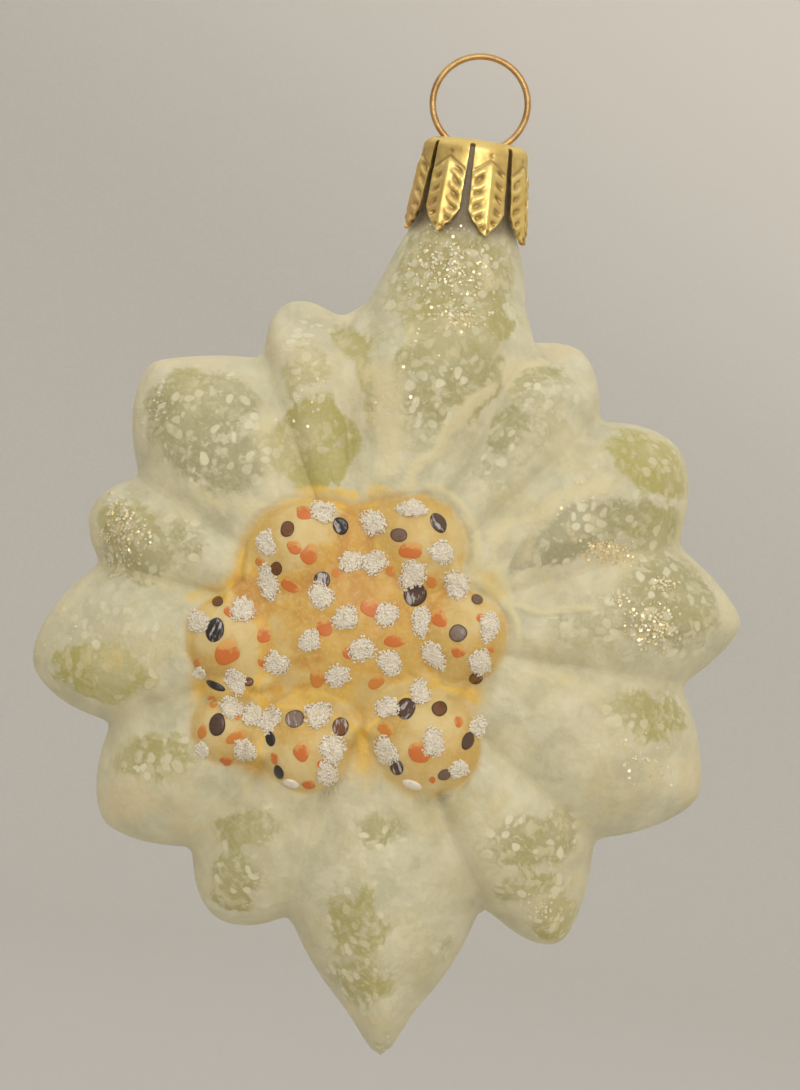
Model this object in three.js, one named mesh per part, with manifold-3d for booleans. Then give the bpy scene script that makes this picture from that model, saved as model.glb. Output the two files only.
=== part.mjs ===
// A mould-blown glass Christmas-tree ornament in the form of an edelweiss flower: a thin hollow glass flower
// with an open neck, a stamped metal crown cap over the neck, and a sprung wire hanger that ends in a ring.
// Millimetres, +Z up along the neck, the face of the flower towards -Y. The origin is the highest point of the
// inside of the ring, where a hook bears.
import * as THREE from "three";
import { mergeVertices } from "three/addons/utils/BufferGeometryUtils.js";
import Module from "manifold-3d";

const wasm = await Module();
wasm.setup();

// ---------------------------------------------------------------- driving dimensions

const SEAT_GAP = 0.3; // between pieces that rest on each other

// Wire hanger.
const WIRE_RADIUS = 0.33;
const RING_RADIUS = 4.75; // centre line of the ring
const RING_CENTRE_Z = WIRE_RADIUS - RING_RADIUS;
const RING_END_X = 2.85; // where the ring turns down into the cap
const LEG_X = 2.42; // at the top of the leg, just under the cap's plate
const LEG_SPLAY = 0.09; // sideways run of a leg for each millimetre down
const LEG_END_Z = -24;

// Crown cap.
const NECK_MIDDLE = 0.2; // the neck and its cap sit this far to the right of the ring
const CAP_TOP_Z = -8.3;
const CAP_SHEET = 0.35;
const CAP_TOP_RADIUS = 5.3;
const CAP_CORNER_RADIUS = 1.1;
const TAB_COUNT = 8;
const TAB_PHASE = 18; // degrees, one tab's turn to the right of the front
const TAB_HALF_ANGLE = 18.3;
const TAB_END_RADIUS = 6.25;
const TAB_SHOULDER_Z = -15.4; // where a tab starts to narrow to its point
const TAB_END_Z = -17.8;
const TAB_KEEL = 0.3; // how far the middle rib of a tab stands out
const LEG_HOLE_X = 2.6;
const LEG_HOLE_RADIUS = 0.75;

// Glass neck, from its rim down to the level where it joins the flower.
const NECK_RIM_Z = CAP_TOP_Z - CAP_SHEET - SEAT_GAP;
const NECK_SEAM_Z = -24;
const NECK_PROFILE = [
  // height, half width, half depth, middle
  [NECK_RIM_Z, 4.55, 4.55, NECK_MIDDLE],
  [-13.0, 4.55, 4.55, NECK_MIDDLE],
  [-15.2, 4.6, 4.6, NECK_MIDDLE],
  [-16.6, 4.9, 4.9, 0.1],
  [-17.8, 5.5, 5.5, 0.05],
  [-19.3, 6.15, 6.1, 0],
  [-21.4, 6.85, 6.6, -0.1],
  [NECK_SEAM_Z, 7.55, 7.1, -0.45],
];

// Glass flower. Angles run clockwise from straight up, seen from the front, about the flower's centre.
const FLOWER_CENTRE = [-4.5, -58]; // x, z
const WALL = 0.85;
const FRONT_DEPTH = 10.0;
const BACK_DEPTH = 8.8;
const PETALS = [
  // tip angle, tip reach, roundness of the flank before the tip, roundness of the flank after it
  { tip: 30, reach: 35.2, before: 1.6, after: 1.8 },
  { tip: 53.5, reach: 36.2, before: 1.8, after: 1.5 },
  { tip: 81.5, reach: 37.7, before: 1.15, after: 1.25 },
  { tip: 109.5, reach: 37.3, before: 1.3, after: 1.3 },
  { tip: 140, reach: 36.9, before: 1.15, after: 2.1 },
  { tip: 170.5, reach: 40.6, before: 1.15, after: 1.15 },
  { tip: 199.5, reach: 32.5, before: 2.0, after: 1.7 },
  { tip: 226, reach: 32.5, before: 1.3, after: 1.5 },
  { tip: 257, reach: 33.5, before: 1.6, after: 1.5 },
  { tip: 286.5, reach: 30.0, before: 1.8, after: 1.8 },
  { tip: 314, reach: 34.3, before: 1.5, after: 0.95 },
  { tip: 340, reach: 33.6, before: 2.4, after: 1.8 },
];
const NOTCHES = [
  // angle, reach: one before the first petal, one after each petal
  [23, 33.1],
  [40.8, 31.0],
  [67.5, 32.2],
  [92.5, 31.9],
  [125, 30.9],
  [149.5, 29.6],
  [187.5, 29.4],
  [211, 27.7],
  [242.5, 26.9],
  [276.5, 27.2],
  [296.5, 27.1],
  [332, 28.8],
  [347.5, 31.3],
];
const NECK_OUTLINE = [
  // angle, reach, from the last notch up the left flank, over the rim and down the right flank
  [349.6, 31.6],
  [353.3, 32.8],
  [354.6, 34.15],
  [355.6, 35.6],
  [357.6, 38.7],
  [359.4, 41.5],
  [360.2, 48.2],
  [370.4, 49.1],
  [371.8, 43.4],
  [375.4, 40.1],
  [378.7, 35.9],
];
const TIP_NUB = { angle: 170.5, height: 2.6, spread: 2.9 }; // the sealed end of the blown glass

// Beads of the flower's middle: place from the flower's centre, radius, and how far the bead's own centre lies
// in front of the parting plane. Right and up are measured with the neck leaning LEAN degrees to the right,
// which sets the rows of beads level.
const LEAN = 7.5;
const BEADS = [
  { right: -6.2, up: 7.8, radius: 5.0, front: 8.8 },
  { right: 5.0, up: 8.2, radius: 5.0, front: 8.6 },
  { right: 9.3, up: -0.6, radius: 4.5, front: 9.0 },
  { right: -13.1, up: -0.9, radius: 4.5, front: 8.4 },
  { right: -13.6, up: -9.6, radius: 3.4, front: 8.4 },
  { right: -5.6, up: -11.6, radius: 4.2, front: 9.0 },
  { right: 6.1, up: -11.1, radius: 5.3, front: 8.2 },
  { right: -1.2, up: -1.2, radius: 8.0, front: 6.2 },
];

// Crumbs of white snow grit stuck to the beads: right, up, radius.
const CRUMBS = [
  [-4.1, 11.8, 1.0],
  [0.9, 10.6, 1.0],
  [5.0, 11.9, 0.9],
  [-9.7, 8.7, 0.9],
  [-9.4, 4.6, 1.1],
  [-1.2, 6.7, 1.0],
  [0.9, 6.7, 1.0],
  [4.7, 5.5, 1.1],
  [7.5, 7.8, 0.9],
  [9.0, 4.4, 1.2],
  [-4.2, 3.5, 1.0],
  [-12.0, 2.1, 1.0],
  [-16.3, 0.9, 0.8],
  [-1.8, 1.1, 1.0],
  [2.0, 1.4, 1.0],
  [5.5, 0.9, 0.9],
  [12.2, 0.3, 0.9],
  [-5.4, -0.9, 1.0],
  [-0.3, -1.8, 1.0],
  [-8.7, -3.2, 1.0],
  [2.4, -3.1, 1.0],
  [6.7, -2.3, 0.9],
  [11.4, -3.0, 0.9],
  [-2.7, -4.4, 1.0],
  [-13.0, -5.1, 0.9],
  [5.4, -6.1, 0.9],
  [-13.3, -7.7, 1.0],
  [-10.9, -8.6, 0.9],
  [-9.2, -8.9, 1.0],
  [-4.7, -8.4, 1.2],
  [2.3, -7.5, 0.9],
  [-3.1, -11.4, 1.2],
  [-3.4, -14.0, 1.1],
  [-11.8, -11.6, 1.0],
  [-15.9, -11.8, 0.8],
  [1.9, -11.9, 1.0],
  [6.7, -10.9, 1.0],
  [11.2, -9.4, 0.9],
  [9.2, -13.6, 0.9],
  [-7.3, -14.9, 0.8],
  [4.4, -15.0, 0.8],
];

const CRUMB_FLATNESS = 0.65;
const CRUMB_TURN = 1.7; // radians from one crumb to the next

// How finely the glass is divided.
const FLANK_STEPS = 5; // columns along each flank of a petal
const NECK_STEPS = 12; // columns across half of the neck
const FRONT_ROWS = 12;
const BACK_ROWS = 8;
const BORE_FLANK_STEPS = 2;
const BORE_NECK_STEPS = 8;
const BORE_ROWS = 7;

// ---------------------------------------------------------------- small helpers

const TURN = 2 * Math.PI;
const rad = (degrees) => (degrees * Math.PI) / 180;
const clamp01 = (t) => Math.min(1, Math.max(0, t));
const smooth = (low, high, value) => {
  const t = clamp01((value - low) / (high - low));
  return t * t * (3 - 2 * t);
};
const bell = (distance, width) => Math.exp(-((distance / width) ** 2));

// A closed three.js geometry as a manifold-3d solid.
function solidOf(geometry) {
  const bare = geometry.index ? geometry.clone() : mergeVertices(geometry.clone());
  for (const name of Object.keys(bare.attributes)) {
    if (name !== "position") bare.deleteAttribute(name);
  }
  const merged = mergeVertices(bare, 1e-4);
  return new wasm.Manifold(
    new wasm.Mesh({
      numProp: 3,
      vertProperties: new Float32Array(merged.attributes.position.array),
      triVerts: new Uint32Array(merged.index.array),
    }),
  );
}

// A manifold-3d solid as a three.js geometry.
function geometryOf(solid) {
  const { numProp, numVert, vertProperties, triVerts } = solid.getMesh();
  const positions = new Float32Array(numVert * 3);
  for (let i = 0; i < numVert; i += 1) {
    positions.set(vertProperties.subarray(i * numProp, i * numProp + 3), i * 3);
  }
  const geometry = new THREE.BufferGeometry();
  geometry.setAttribute("position", new THREE.BufferAttribute(positions, 3));
  geometry.setIndex(new THREE.BufferAttribute(new Uint32Array(triVerts), 1));
  geometry.computeVertexNormals();
  return geometry;
}

// A three.js geometry from a list of [x, y, z] points and a list of triangles.
function geometryFrom(points, triangles) {
  const geometry = new THREE.BufferGeometry();
  geometry.setAttribute("position", new THREE.BufferAttribute(new Float32Array(points.flat()), 3));
  geometry.setIndex(triangles.flat());
  return geometry;
}

// A place measured with the neck leaning, as x and z in the part's frame.
function unlean(right, up) {
  const c = Math.cos(rad(LEAN));
  const s = Math.sin(rad(LEAN));
  return [FLOWER_CENTRE[0] + right * c - up * s, FLOWER_CENTRE[1] + right * s + up * c];
}

// ---------------------------------------------------------------- shape of the glass

// Half width, half depth and middle of the neck at a height, between the knots of its profile.
function neckAt(z) {
  const after = NECK_PROFILE.findIndex((knot) => knot[0] <= z);
  if (after <= 0) return NECK_PROFILE[after < 0 ? NECK_PROFILE.length - 1 : 0].slice(1);
  const [a, b] = [NECK_PROFILE[after - 1], NECK_PROFILE[after]];
  const t = (a[0] - z) / (a[0] - b[0]);
  return [1, 2, 3].map((k) => a[k] + (b[k] - a[k]) * t);
}

// Reach of the outline at one angle: each flank runs from a notch to a tip as 1 - (1 - t) ^ roundness.
function rawReach(angle) {
  const first = NOTCHES[0][0];
  const last = NOTCHES[NOTCHES.length - 1][0];
  const a = angle < first ? angle + 360 : angle;
  if (a > last) {
    const knots = [NOTCHES[NOTCHES.length - 1], ...NECK_OUTLINE, [first + 360, NOTCHES[0][1]]];
    const after = knots.findIndex((knot) => knot[0] >= a);
    const [p, q] = [knots[after - 1], knots[after]];
    return p[1] + ((q[1] - p[1]) * (a - p[0])) / (q[0] - p[0]);
  }
  const k = PETALS.findIndex((_, i) => a <= NOTCHES[i + 1][0]);
  const { tip, reach, before, after } = PETALS[k];
  const [notch, roundness] = a < tip ? [NOTCHES[k], before] : [NOTCHES[k + 1], after];
  const t = clamp01((a - notch[0]) / (tip - notch[0]));
  const nub = TIP_NUB.height * bell(a - TIP_NUB.angle, TIP_NUB.spread);
  return notch[1] + (reach - notch[1]) * (1 - (1 - t) ** roundness) + nub;
}

// The outline in half-degree steps, with its corners softened everywhere but at the neck.
const STEPS_PER_DEGREE = 2;
const SOFTENING = 9; // passes
const outlineTable = (() => {
  const count = 360 * STEPS_PER_DEGREE;
  const raw = Array.from({ length: count }, (_, i) => rawReach(i / STEPS_PER_DEGREE));
  let soft = raw;
  for (let pass = 0; pass < SOFTENING; pass += 1) {
    soft = soft.map((_, i) => {
      const near = [-1, 0, 1].map((d) => soft[(i + d + count) % count]);
      return (near[0] + 2 * near[1] + near[2]) / 4;
    });
  }
  return raw.map((value, i) => {
    const fromNeck = Math.abs(((i / STEPS_PER_DEGREE - 6.6 + 540) % 360) - 180);
    const share = smooth(15, 20, fromNeck);
    return value + (soft[i] - value) * share;
  });
})();

function reachAt(angle) {
  const at = (((angle % 360) + 360) % 360) * STEPS_PER_DEGREE;
  const low = Math.floor(at) % outlineTable.length;
  const high = (low + 1) % outlineTable.length;
  return outlineTable[low] + (outlineTable[high] - outlineTable[low]) * (at - Math.floor(at));
}

// Where an angle lies across its petal: 0 on the middle line and 1 in the crease on either side.
function acrossPetal(angle) {
  const first = NOTCHES[0][0];
  const a = ((angle - first + 360) % 360) + first;
  const k = PETALS.findIndex((_, i) => a <= NOTCHES[i + 1][0]);
  if (k < 0) {
    const [low, high] = [NOTCHES[NOTCHES.length - 1][0], first + 360];
    return Math.abs((a - (low + high) / 2) / ((high - low) / 2));
  }
  const notch = a < PETALS[k].tip ? NOTCHES[k][0] : NOTCHES[k + 1][0];
  return clamp01((a - PETALS[k].tip) / (notch - PETALS[k].tip));
}

// The relief of each side, outside and in the plainer hollow: depths in millimetres; sharpness is that of the
// creases, and the dish round the middle is as deep as moat, at the radius moatAt and with the half width moatWide.
const FRONT = {
  outside: { crease: 2.3, sharpness: 5, puff: 0.9, moat: 1.5, moatAt: 16.5, moatWide: 3.2, dome: 0 },
  hollow: { crease: 2.5, sharpness: 4, puff: 0.8, moat: 1.7, moatAt: 16.5, moatWide: 4.2, dome: 0 },
  depth: FRONT_DEPTH,
  sign: -1,
};
const BACK = {
  outside: { crease: 1.9, sharpness: 5, puff: 0.8, moat: 1.0, moatAt: 11.5, moatWide: 3.2, dome: 1.0 },
  hollow: { crease: 2.1, sharpness: 4, puff: 0.7, moat: 1.2, moatAt: 11, moatWide: 5.0, dome: 0.8 },
  depth: BACK_DEPTH,
  sign: 1,
};

// Height of the glass above the parting plane: a round-edged cushion, puffed along each petal, creased between
// petals and dished round the flower's middle, that turns into the round neck below the seam.
// inset is the distance that the surface lies inside the outer one.
function heightAt(x, z, side, inset = 0) {
  const dx = x - FLOWER_CENTRE[0];
  const dz = z - FLOWER_CENTRE[1];
  const r = Math.hypot(dx, dz);
  const angle = (Math.atan2(dx, dz) * 180) / Math.PI;
  const reach = boreReach(angle, inset);
  const q = Math.min(1, r / reach);
  const round = Math.sqrt(1 - q ** 3.4);
  const along = clamp01((r - 12) / (reach - 12));
  const across = acrossPetal(angle);
  const relief = inset ? side.hollow : side.outside;
  const crease = relief.crease * across ** relief.sharpness * smooth(0, 0.35, along) * round;
  const puff = relief.puff * (1 - across ** 2) * Math.sin(Math.PI * along ** 0.8) * round;
  const moat = relief.moat * bell(r - relief.moatAt, relief.moatWide);
  const dome = relief.dome * bell(r, 8);
  const cushion = (side.depth - inset) * round + puff - crease - moat + dome;
  const [w, d, middle] = neckAt(Math.max(z, NECK_SEAM_Z));
  const widen = 0.5 * Math.max(0, NECK_SEAM_Z - z);
  const halfWidth = w - inset + widen;
  const halfDepth = d - inset + 0.2 * Math.max(0, NECK_SEAM_Z - z);
  const neck = halfDepth * Math.sqrt(Math.max(0, 1 - ((x - middle) / halfWidth) ** 2));
  const share = smooth(-33, NECK_SEAM_Z, z);
  return Math.max(0, cushion + (neck - cushion) * share);
}

// Reach of the outline, or of the hollow inside it, which stops short of the notches' corners and the nub.
function boreReach(angle, inset) {
  if (!inset) return reachAt(angle);
  const spread = [-3, -1.5, 0, 1.5, 3].map((d) => reachAt(angle + d));
  return Math.min(...spread, 37.5 + 20 * smooth(30, 15, Math.abs(((angle + 180) % 360) - 186.6))) - inset - 0.4;
}

// The columns that the glass is divided into: outline points from the neck's right side clockwise to its left
// side, then points on the seam from left to right. Each is { x, z, depth } with depth 0 on the outline.
function columnsOf(flankSteps, neckSteps, inset) {
  const [w, d, middle] = neckAt(NECK_SEAM_Z);
  const angles = [];
  const addRun = (from, to, steps) => {
    for (let i = 0; i < steps; i += 1) angles.push(from + ((to - from) * i) / steps);
  };
  const seamRight = middle + w - inset;
  const seamLeft = middle - w + inset;
  const angleOf = (x) => (Math.atan2(x - FLOWER_CENTRE[0], NECK_SEAM_Z - FLOWER_CENTRE[1]) * 180) / Math.PI;
  const flank = Math.max(1, Math.round(flankSteps / 2));
  addRun(angleOf(seamRight), NOTCHES[0][0], flank);
  PETALS.forEach(({ tip }, k) => {
    addRun(NOTCHES[k][0], tip, flankSteps);
    addRun(tip, NOTCHES[k + 1][0], flankSteps);
  });
  addRun(NOTCHES[NOTCHES.length - 1][0], angleOf(seamLeft) + 360, flank);
  const columns = angles.map((angle) => {
    const reach = boreReach(angle, inset);
    return {
      x: FLOWER_CENTRE[0] + reach * Math.sin(rad(angle)),
      z: FLOWER_CENTRE[1] + reach * Math.cos(rad(angle)),
      depth: 0,
    };
  });
  columns[0] = { x: seamRight, z: NECK_SEAM_Z, depth: 0 };
  for (let i = 0; i < neckSteps; i += 1) {
    const phi = Math.PI * (1 - i / neckSteps);
    columns.push({
      x: middle + (w - inset) * Math.cos(phi),
      z: NECK_SEAM_Z,
      depth: (d - inset) * Math.sin(phi),
    });
  }
  return { columns, outlineCount: angles.length };
}

// A closed glass shape: a front sheet and a back sheet that meet at the outline, and a tube up to topZ.
function glassShape({ flankSteps, neckSteps, frontRows, backRows, inset, topZ }) {
  const { columns, outlineCount } = columnsOf(flankSteps, neckSteps, inset);
  const count = columns.length;
  const points = [];
  const triangles = [];
  const add = (p) => points.push(p) - 1;
  const quad = (a, b, c, d) => triangles.push([a, b, c], [a, c, d]);

  // Points on the rim of the sheets. Front and back share the outline and the two ends of the seam.
  const rimFront = columns.map((c) => add([c.x, -c.depth, c.z]));
  const rimBack = columns.map((c, i) => (c.depth < 1e-9 ? rimFront[i] : add([c.x, c.depth, c.z])));

  const sheet = (side, rows, rim) => {
    const pole = add([FLOWER_CENTRE[0], side.sign * heightAt(...FLOWER_CENTRE, side, inset), FLOWER_CENTRE[1]]);
    const rings = [];
    for (let j = 1; j < rows; j += 1) {
      const share = 1 - (1 - j / rows) ** 1.45;
      rings.push(
        columns.map((c) => {
          const x = FLOWER_CENTRE[0] + (c.x - FLOWER_CENTRE[0]) * share;
          const z = FLOWER_CENTRE[1] + (c.z - FLOWER_CENTRE[1]) * share;
          return add([x, side.sign * heightAt(x, z, side, inset), z]);
        }),
      );
    }
    rings.push(rim);
    const facing = (a, b, c) => triangles.push(side.sign < 0 ? [a, b, c] : [a, c, b]);
    for (let i = 0; i < count; i += 1) {
      const next = (i + 1) % count;
      facing(pole, rings[0][next], rings[0][i]);
      for (let j = 0; j + 1 < rings.length; j += 1) {
        facing(rings[j][i], rings[j][next], rings[j + 1][next]);
        facing(rings[j][i], rings[j + 1][next], rings[j + 1][i]);
      }
    }
  };
  sheet(FRONT, frontRows, rimFront);
  sheet(BACK, backRows, rimBack);

  // The neck: rings of points, from left over the front to the right and back behind.
  const frontRun = [];
  for (let i = 0; i < neckSteps; i += 1) frontRun.push(outlineCount + i);
  const seam = [
    ...frontRun.map((i) => rimFront[i]),
    rimFront[0],
    ...frontRun.slice(1).reverse().map((i) => rimBack[i]),
  ];
  const levels = NECK_PROFILE.map((knot) => knot[0]).filter((z) => z > NECK_SEAM_Z && z < topZ - 1e-9);
  levels.sort((a, b) => a - b);
  let below = seam;
  for (const z of [...levels, topZ]) {
    const [w, d, middle] = neckAt(z);
    const ring = seam.map((_, i) => {
      const phi = Math.PI * (1 - i / neckSteps);
      return add([middle + (w - inset) * Math.cos(phi), -(d - inset) * Math.sin(phi), z]);
    });
    below.forEach((a, i) => {
      const n = (i + 1) % seam.length;
      quad(a, below[n], ring[n], ring[i]);
    });
    below = ring;
  }
  const lid = add([0, 0, topZ]);
  below.forEach((a, i) => triangles.push([a, below[(i + 1) % seam.length], lid]));
  return solidOf(geometryFrom(points, triangles));
}

// A bead of the flower's middle.
function bead({ right, up, radius, front }) {
  const [x, z] = unlean(right, up);
  const ball = new THREE.SphereGeometry(radius, 16, 10);
  ball.rotateX(Math.PI / 2);
  ball.translate(x, -front, z);
  return solidOf(ball);
}

// How far the face of the flower stands out at a point, beads included.
function faceAt(x, z) {
  return BEADS.reduce(
    (most, { right, up, radius, front }) => {
      const [bx, bz] = unlean(right, up);
      const inside = radius ** 2 - (x - bx) ** 2 - (z - bz) ** 2;
      return inside > 0 ? Math.max(most, front + Math.sqrt(inside)) : most;
    },
    heightAt(x, z, FRONT),
  );
}

// A crumb of grit: a flattened lump, sunk half into the surface under it, each turned its own way.
function crumb([right, up, radius], index) {
  const [x, z] = unlean(right, up);
  const lump = new THREE.IcosahedronGeometry(radius, 0);
  lump.rotateY(index * CRUMB_TURN);
  lump.scale(1, CRUMB_FLATNESS, 1);
  lump.translate(x, -faceAt(x, z), z);
  return solidOf(lump);
}

function glassBody() {
  const outside = glassShape({
    flankSteps: FLANK_STEPS,
    neckSteps: NECK_STEPS,
    frontRows: FRONT_ROWS,
    backRows: BACK_ROWS,
    inset: 0,
    topZ: NECK_RIM_Z,
  });
  const hollow = glassShape({
    flankSteps: BORE_FLANK_STEPS,
    neckSteps: BORE_NECK_STEPS,
    frontRows: BORE_ROWS,
    backRows: BORE_ROWS,
    inset: WALL,
    topZ: NECK_RIM_Z + 1,
  });
  const grown = [...BEADS.map(bead), ...CRUMBS.map(crumb)].reduce((sum, piece) => sum.add(piece), outside);
  return geometryOf(grown.subtract(hollow));
}

// ---------------------------------------------------------------- crown cap

// A solid of revolution round the neck's axis from a closed profile of [radius, z] points.
function turned(profile, segments) {
  const lathe = new THREE.LatheGeometry(
    profile.map(([r, z]) => new THREE.Vector2(r, z)),
    segments,
  );
  lathe.rotateX(Math.PI / 2);
  lathe.translate(NECK_MIDDLE, 0, 0);
  return solidOf(lathe);
}

// One pressed tab: a leaf-shaped strip with a keel, bent down from the cap's edge and flared outwards.
function tab(turn) {
  const bendZ = CAP_TOP_Z - CAP_CORNER_RADIUS;
  const columns = [-1, -0.5, 0, 0.5, 1];
  const rows = [
    // height, share of the full half angle
    [bendZ + 0.3, 1],
    [bendZ - 1.2, 1],
    [bendZ - 3.4, 1],
    [TAB_SHOULDER_Z, 0.97],
    [TAB_SHOULDER_Z - 0.9, 0.7],
    [TAB_SHOULDER_Z - 1.7, 0.36],
    [TAB_END_Z, 0.06],
  ];
  const points = [];
  const triangles = [];
  const layers = [CAP_SHEET, 0].map((inward) =>
    rows.map(([z, share]) => {
      const down = clamp01((bendZ - z) / (bendZ - TAB_END_Z));
      const radius = CAP_TOP_RADIUS + (TAB_END_RADIUS - CAP_TOP_RADIUS) * down ** 1.2;
      return columns.map((c) => {
        const keel = TAB_KEEL * share * (1 - Math.abs(c)) * smooth(0, 0.25, down);
        const angle = rad(TAB_HALF_ANGLE * share * c) + turn;
        const reach = radius - inward + (inward ? Math.min(keel, 0.12) : keel);
        return points.push([NECK_MIDDLE + reach * Math.sin(angle), -reach * Math.cos(angle), z]) - 1;
      });
    }),
  );
  const [inner, outer] = layers;
  const quad = (a, b, c, d) => triangles.push([a, b, c], [a, c, d]);
  const [lastRow, lastColumn] = [rows.length - 1, columns.length - 1];
  for (let j = 0; j < lastRow; j += 1) {
    for (let i = 0; i < lastColumn; i += 1) {
      quad(outer[j][i], outer[j + 1][i], outer[j + 1][i + 1], outer[j][i + 1]);
      quad(inner[j][i], inner[j][i + 1], inner[j + 1][i + 1], inner[j + 1][i]);
    }
    quad(inner[j][0], inner[j + 1][0], outer[j + 1][0], outer[j][0]);
    quad(outer[j][lastColumn], outer[j + 1][lastColumn], inner[j + 1][lastColumn], inner[j][lastColumn]);
  }
  for (let i = 0; i < lastColumn; i += 1) {
    quad(inner[0][i], outer[0][i], outer[0][i + 1], inner[0][i + 1]);
    quad(outer[lastRow][i], inner[lastRow][i], inner[lastRow][i + 1], outer[lastRow][i + 1]);
  }
  return solidOf(geometryFrom(points, triangles));
}

// The plate on top, with its rounded edge turned down as far as the tabs.
function capPlate() {
  const [outer, corner, sheet] = [CAP_TOP_RADIUS, CAP_CORNER_RADIUS, CAP_SHEET];
  const profile = [[0, CAP_TOP_Z - sheet]];
  const arc = (radius, from, to) => {
    const steps = 3;
    for (let i = 0; i <= steps; i += 1) {
      const a = rad(from + ((to - from) * i) / steps);
      profile.push([outer - corner + radius * Math.sin(a), CAP_TOP_Z - corner + radius * Math.cos(a)]);
    }
  };
  arc(corner - sheet, 0, 90);
  arc(corner, 90, 0);
  profile.push([0, CAP_TOP_Z]);
  return turned(profile, 48);
}

function crownCap() {
  const tabs = Array.from({ length: TAB_COUNT }, (_, i) => tab(rad(TAB_PHASE) + (TURN * i) / TAB_COUNT));
  const drills = [-1, 1].map((side) => {
    const drill = new THREE.CylinderGeometry(LEG_HOLE_RADIUS, LEG_HOLE_RADIUS, 2, 16);
    drill.rotateX(Math.PI / 2);
    drill.translate(side * LEG_HOLE_X, 0, CAP_TOP_Z);
    return solidOf(drill);
  });
  const joined = tabs.reduce((sum, piece) => sum.add(piece), capPlate());
  return geometryOf(drills.reduce((rest, drill) => rest.subtract(drill), joined));
}

// ---------------------------------------------------------------- wire hanger

// The ring, from where it turns down into the cap on one side, over the top, to the other side.
function hangerPath() {
  const path = new THREE.CurvePath();
  const drop = Math.sqrt(RING_RADIUS ** 2 - RING_END_X ** 2);
  const ringEnd = (side) => new THREE.Vector3(side * RING_END_X, 0, RING_CENTRE_Z - drop);
  const legTopZ = CAP_TOP_Z - 2 * CAP_SHEET;
  const legTop = (side) => new THREE.Vector3(side * LEG_X, 0, legTopZ);
  const corner = (side) => {
    // where the tangent of the ring's end meets the leg
    const run = RING_END_X - LEG_X;
    return new THREE.Vector3(side * LEG_X, 0, RING_CENTRE_Z - drop - (run * RING_END_X) / drop);
  };
  const legEnd = (side) => new THREE.Vector3(side * (LEG_X + LEG_SPLAY * (legTopZ - LEG_END_Z)), 0, LEG_END_Z);
  path.add(new THREE.LineCurve3(legEnd(-1), legTop(-1)));
  path.add(new THREE.QuadraticBezierCurve3(legTop(-1), corner(-1), ringEnd(-1)));
  path.add(new RingArc(Math.atan2(RING_END_X, -drop)));
  path.add(new THREE.QuadraticBezierCurve3(ringEnd(1), corner(1), legTop(1)));
  path.add(new THREE.LineCurve3(legTop(1), legEnd(1)));
  return path;
}

// The ring itself: an arc that runs clockwise over the top, the same angle to either side of it.
class RingArc extends THREE.Curve {
  constructor(halfAngle) {
    super();
    this.halfAngle = halfAngle;
  }

  getPoint(t, target = new THREE.Vector3()) {
    const a = this.halfAngle * (2 * t - 1);
    return target.set(RING_RADIUS * Math.sin(a), 0, RING_CENTRE_Z + RING_RADIUS * Math.cos(a));
  }
}

function hanger() {
  const section = new THREE.Shape();
  section.absarc(0, 0, WIRE_RADIUS, 0, TURN);
  return geometryOf(
    solidOf(new THREE.ExtrudeGeometry(section, { steps: 72, curveSegments: 5, extrudePath: hangerPath() })),
  );
}

// ---------------------------------------------------------------- assembly

const ornament = new THREE.Group();
const addNode = (name, geometry, { color, roughness, metalness }) => {
  const mesh = new THREE.Mesh(geometry, new THREE.MeshStandardMaterial({ color, roughness, metalness }));
  mesh.name = name;
  ornament.add(mesh);
};

addNode("glass_flower", glassBody(), { color: 0xc9c08e, roughness: 0.5, metalness: 0 });
addNode("crown_cap", crownCap(), { color: 0xc9a24a, roughness: 0.3, metalness: 1 });
addNode("wire_hanger", hanger(), { color: 0x9c7238, roughness: 0.35, metalness: 1 });

export default ornament;
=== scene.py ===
import logging
import math
from dataclasses import dataclass, field
from enum import Enum
from functools import cached_property
from typing import Optional, Sequence, Union

import bpy
import numpy as np
from mathutils import Matrix, Vector


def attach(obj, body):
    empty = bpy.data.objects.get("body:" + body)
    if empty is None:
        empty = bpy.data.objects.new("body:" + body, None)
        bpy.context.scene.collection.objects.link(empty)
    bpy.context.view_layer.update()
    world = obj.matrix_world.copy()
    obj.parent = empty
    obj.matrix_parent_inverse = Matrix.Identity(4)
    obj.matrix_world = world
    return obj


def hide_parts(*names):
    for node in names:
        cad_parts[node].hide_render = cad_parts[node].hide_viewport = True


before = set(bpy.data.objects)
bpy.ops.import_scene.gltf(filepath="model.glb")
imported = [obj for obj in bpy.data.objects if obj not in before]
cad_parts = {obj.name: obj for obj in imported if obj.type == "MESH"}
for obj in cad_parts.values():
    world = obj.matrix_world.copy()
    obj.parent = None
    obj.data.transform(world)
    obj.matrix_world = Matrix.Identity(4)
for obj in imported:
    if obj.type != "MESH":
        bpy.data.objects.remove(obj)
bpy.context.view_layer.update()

Array = np.ndarray
Socket = bpy.types.NodeSocket
Value = Union[Socket, float]
Colour = tuple[float, float, float]

log = logging.getLogger("ornament")

MM = 0.001
LEAN = math.radians(7.5)  # the decoration is laid out with the neck leaning this far to the right
CENTRE = (-4.5, -58.0)  # x and z of the flower's centre
SEED = 20


# -------- small helpers


def smooth(low: float, high: float, value: Array) -> Array:
    """A smooth step: 0 at low, 1 at high, with t * t * (3 - 2t) between them. High may lie below low."""
    t = np.clip((np.asarray(value, float) - low) / (high - low), 0, 1)
    return t * t * (3 - 2 * t)


def bell(distance: Array, width: float) -> Array:
    """exp(-(distance / width) squared): 1 in the middle, falling off on both sides."""
    return np.exp(-((np.asarray(distance, float) / width) ** 2))


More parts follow.
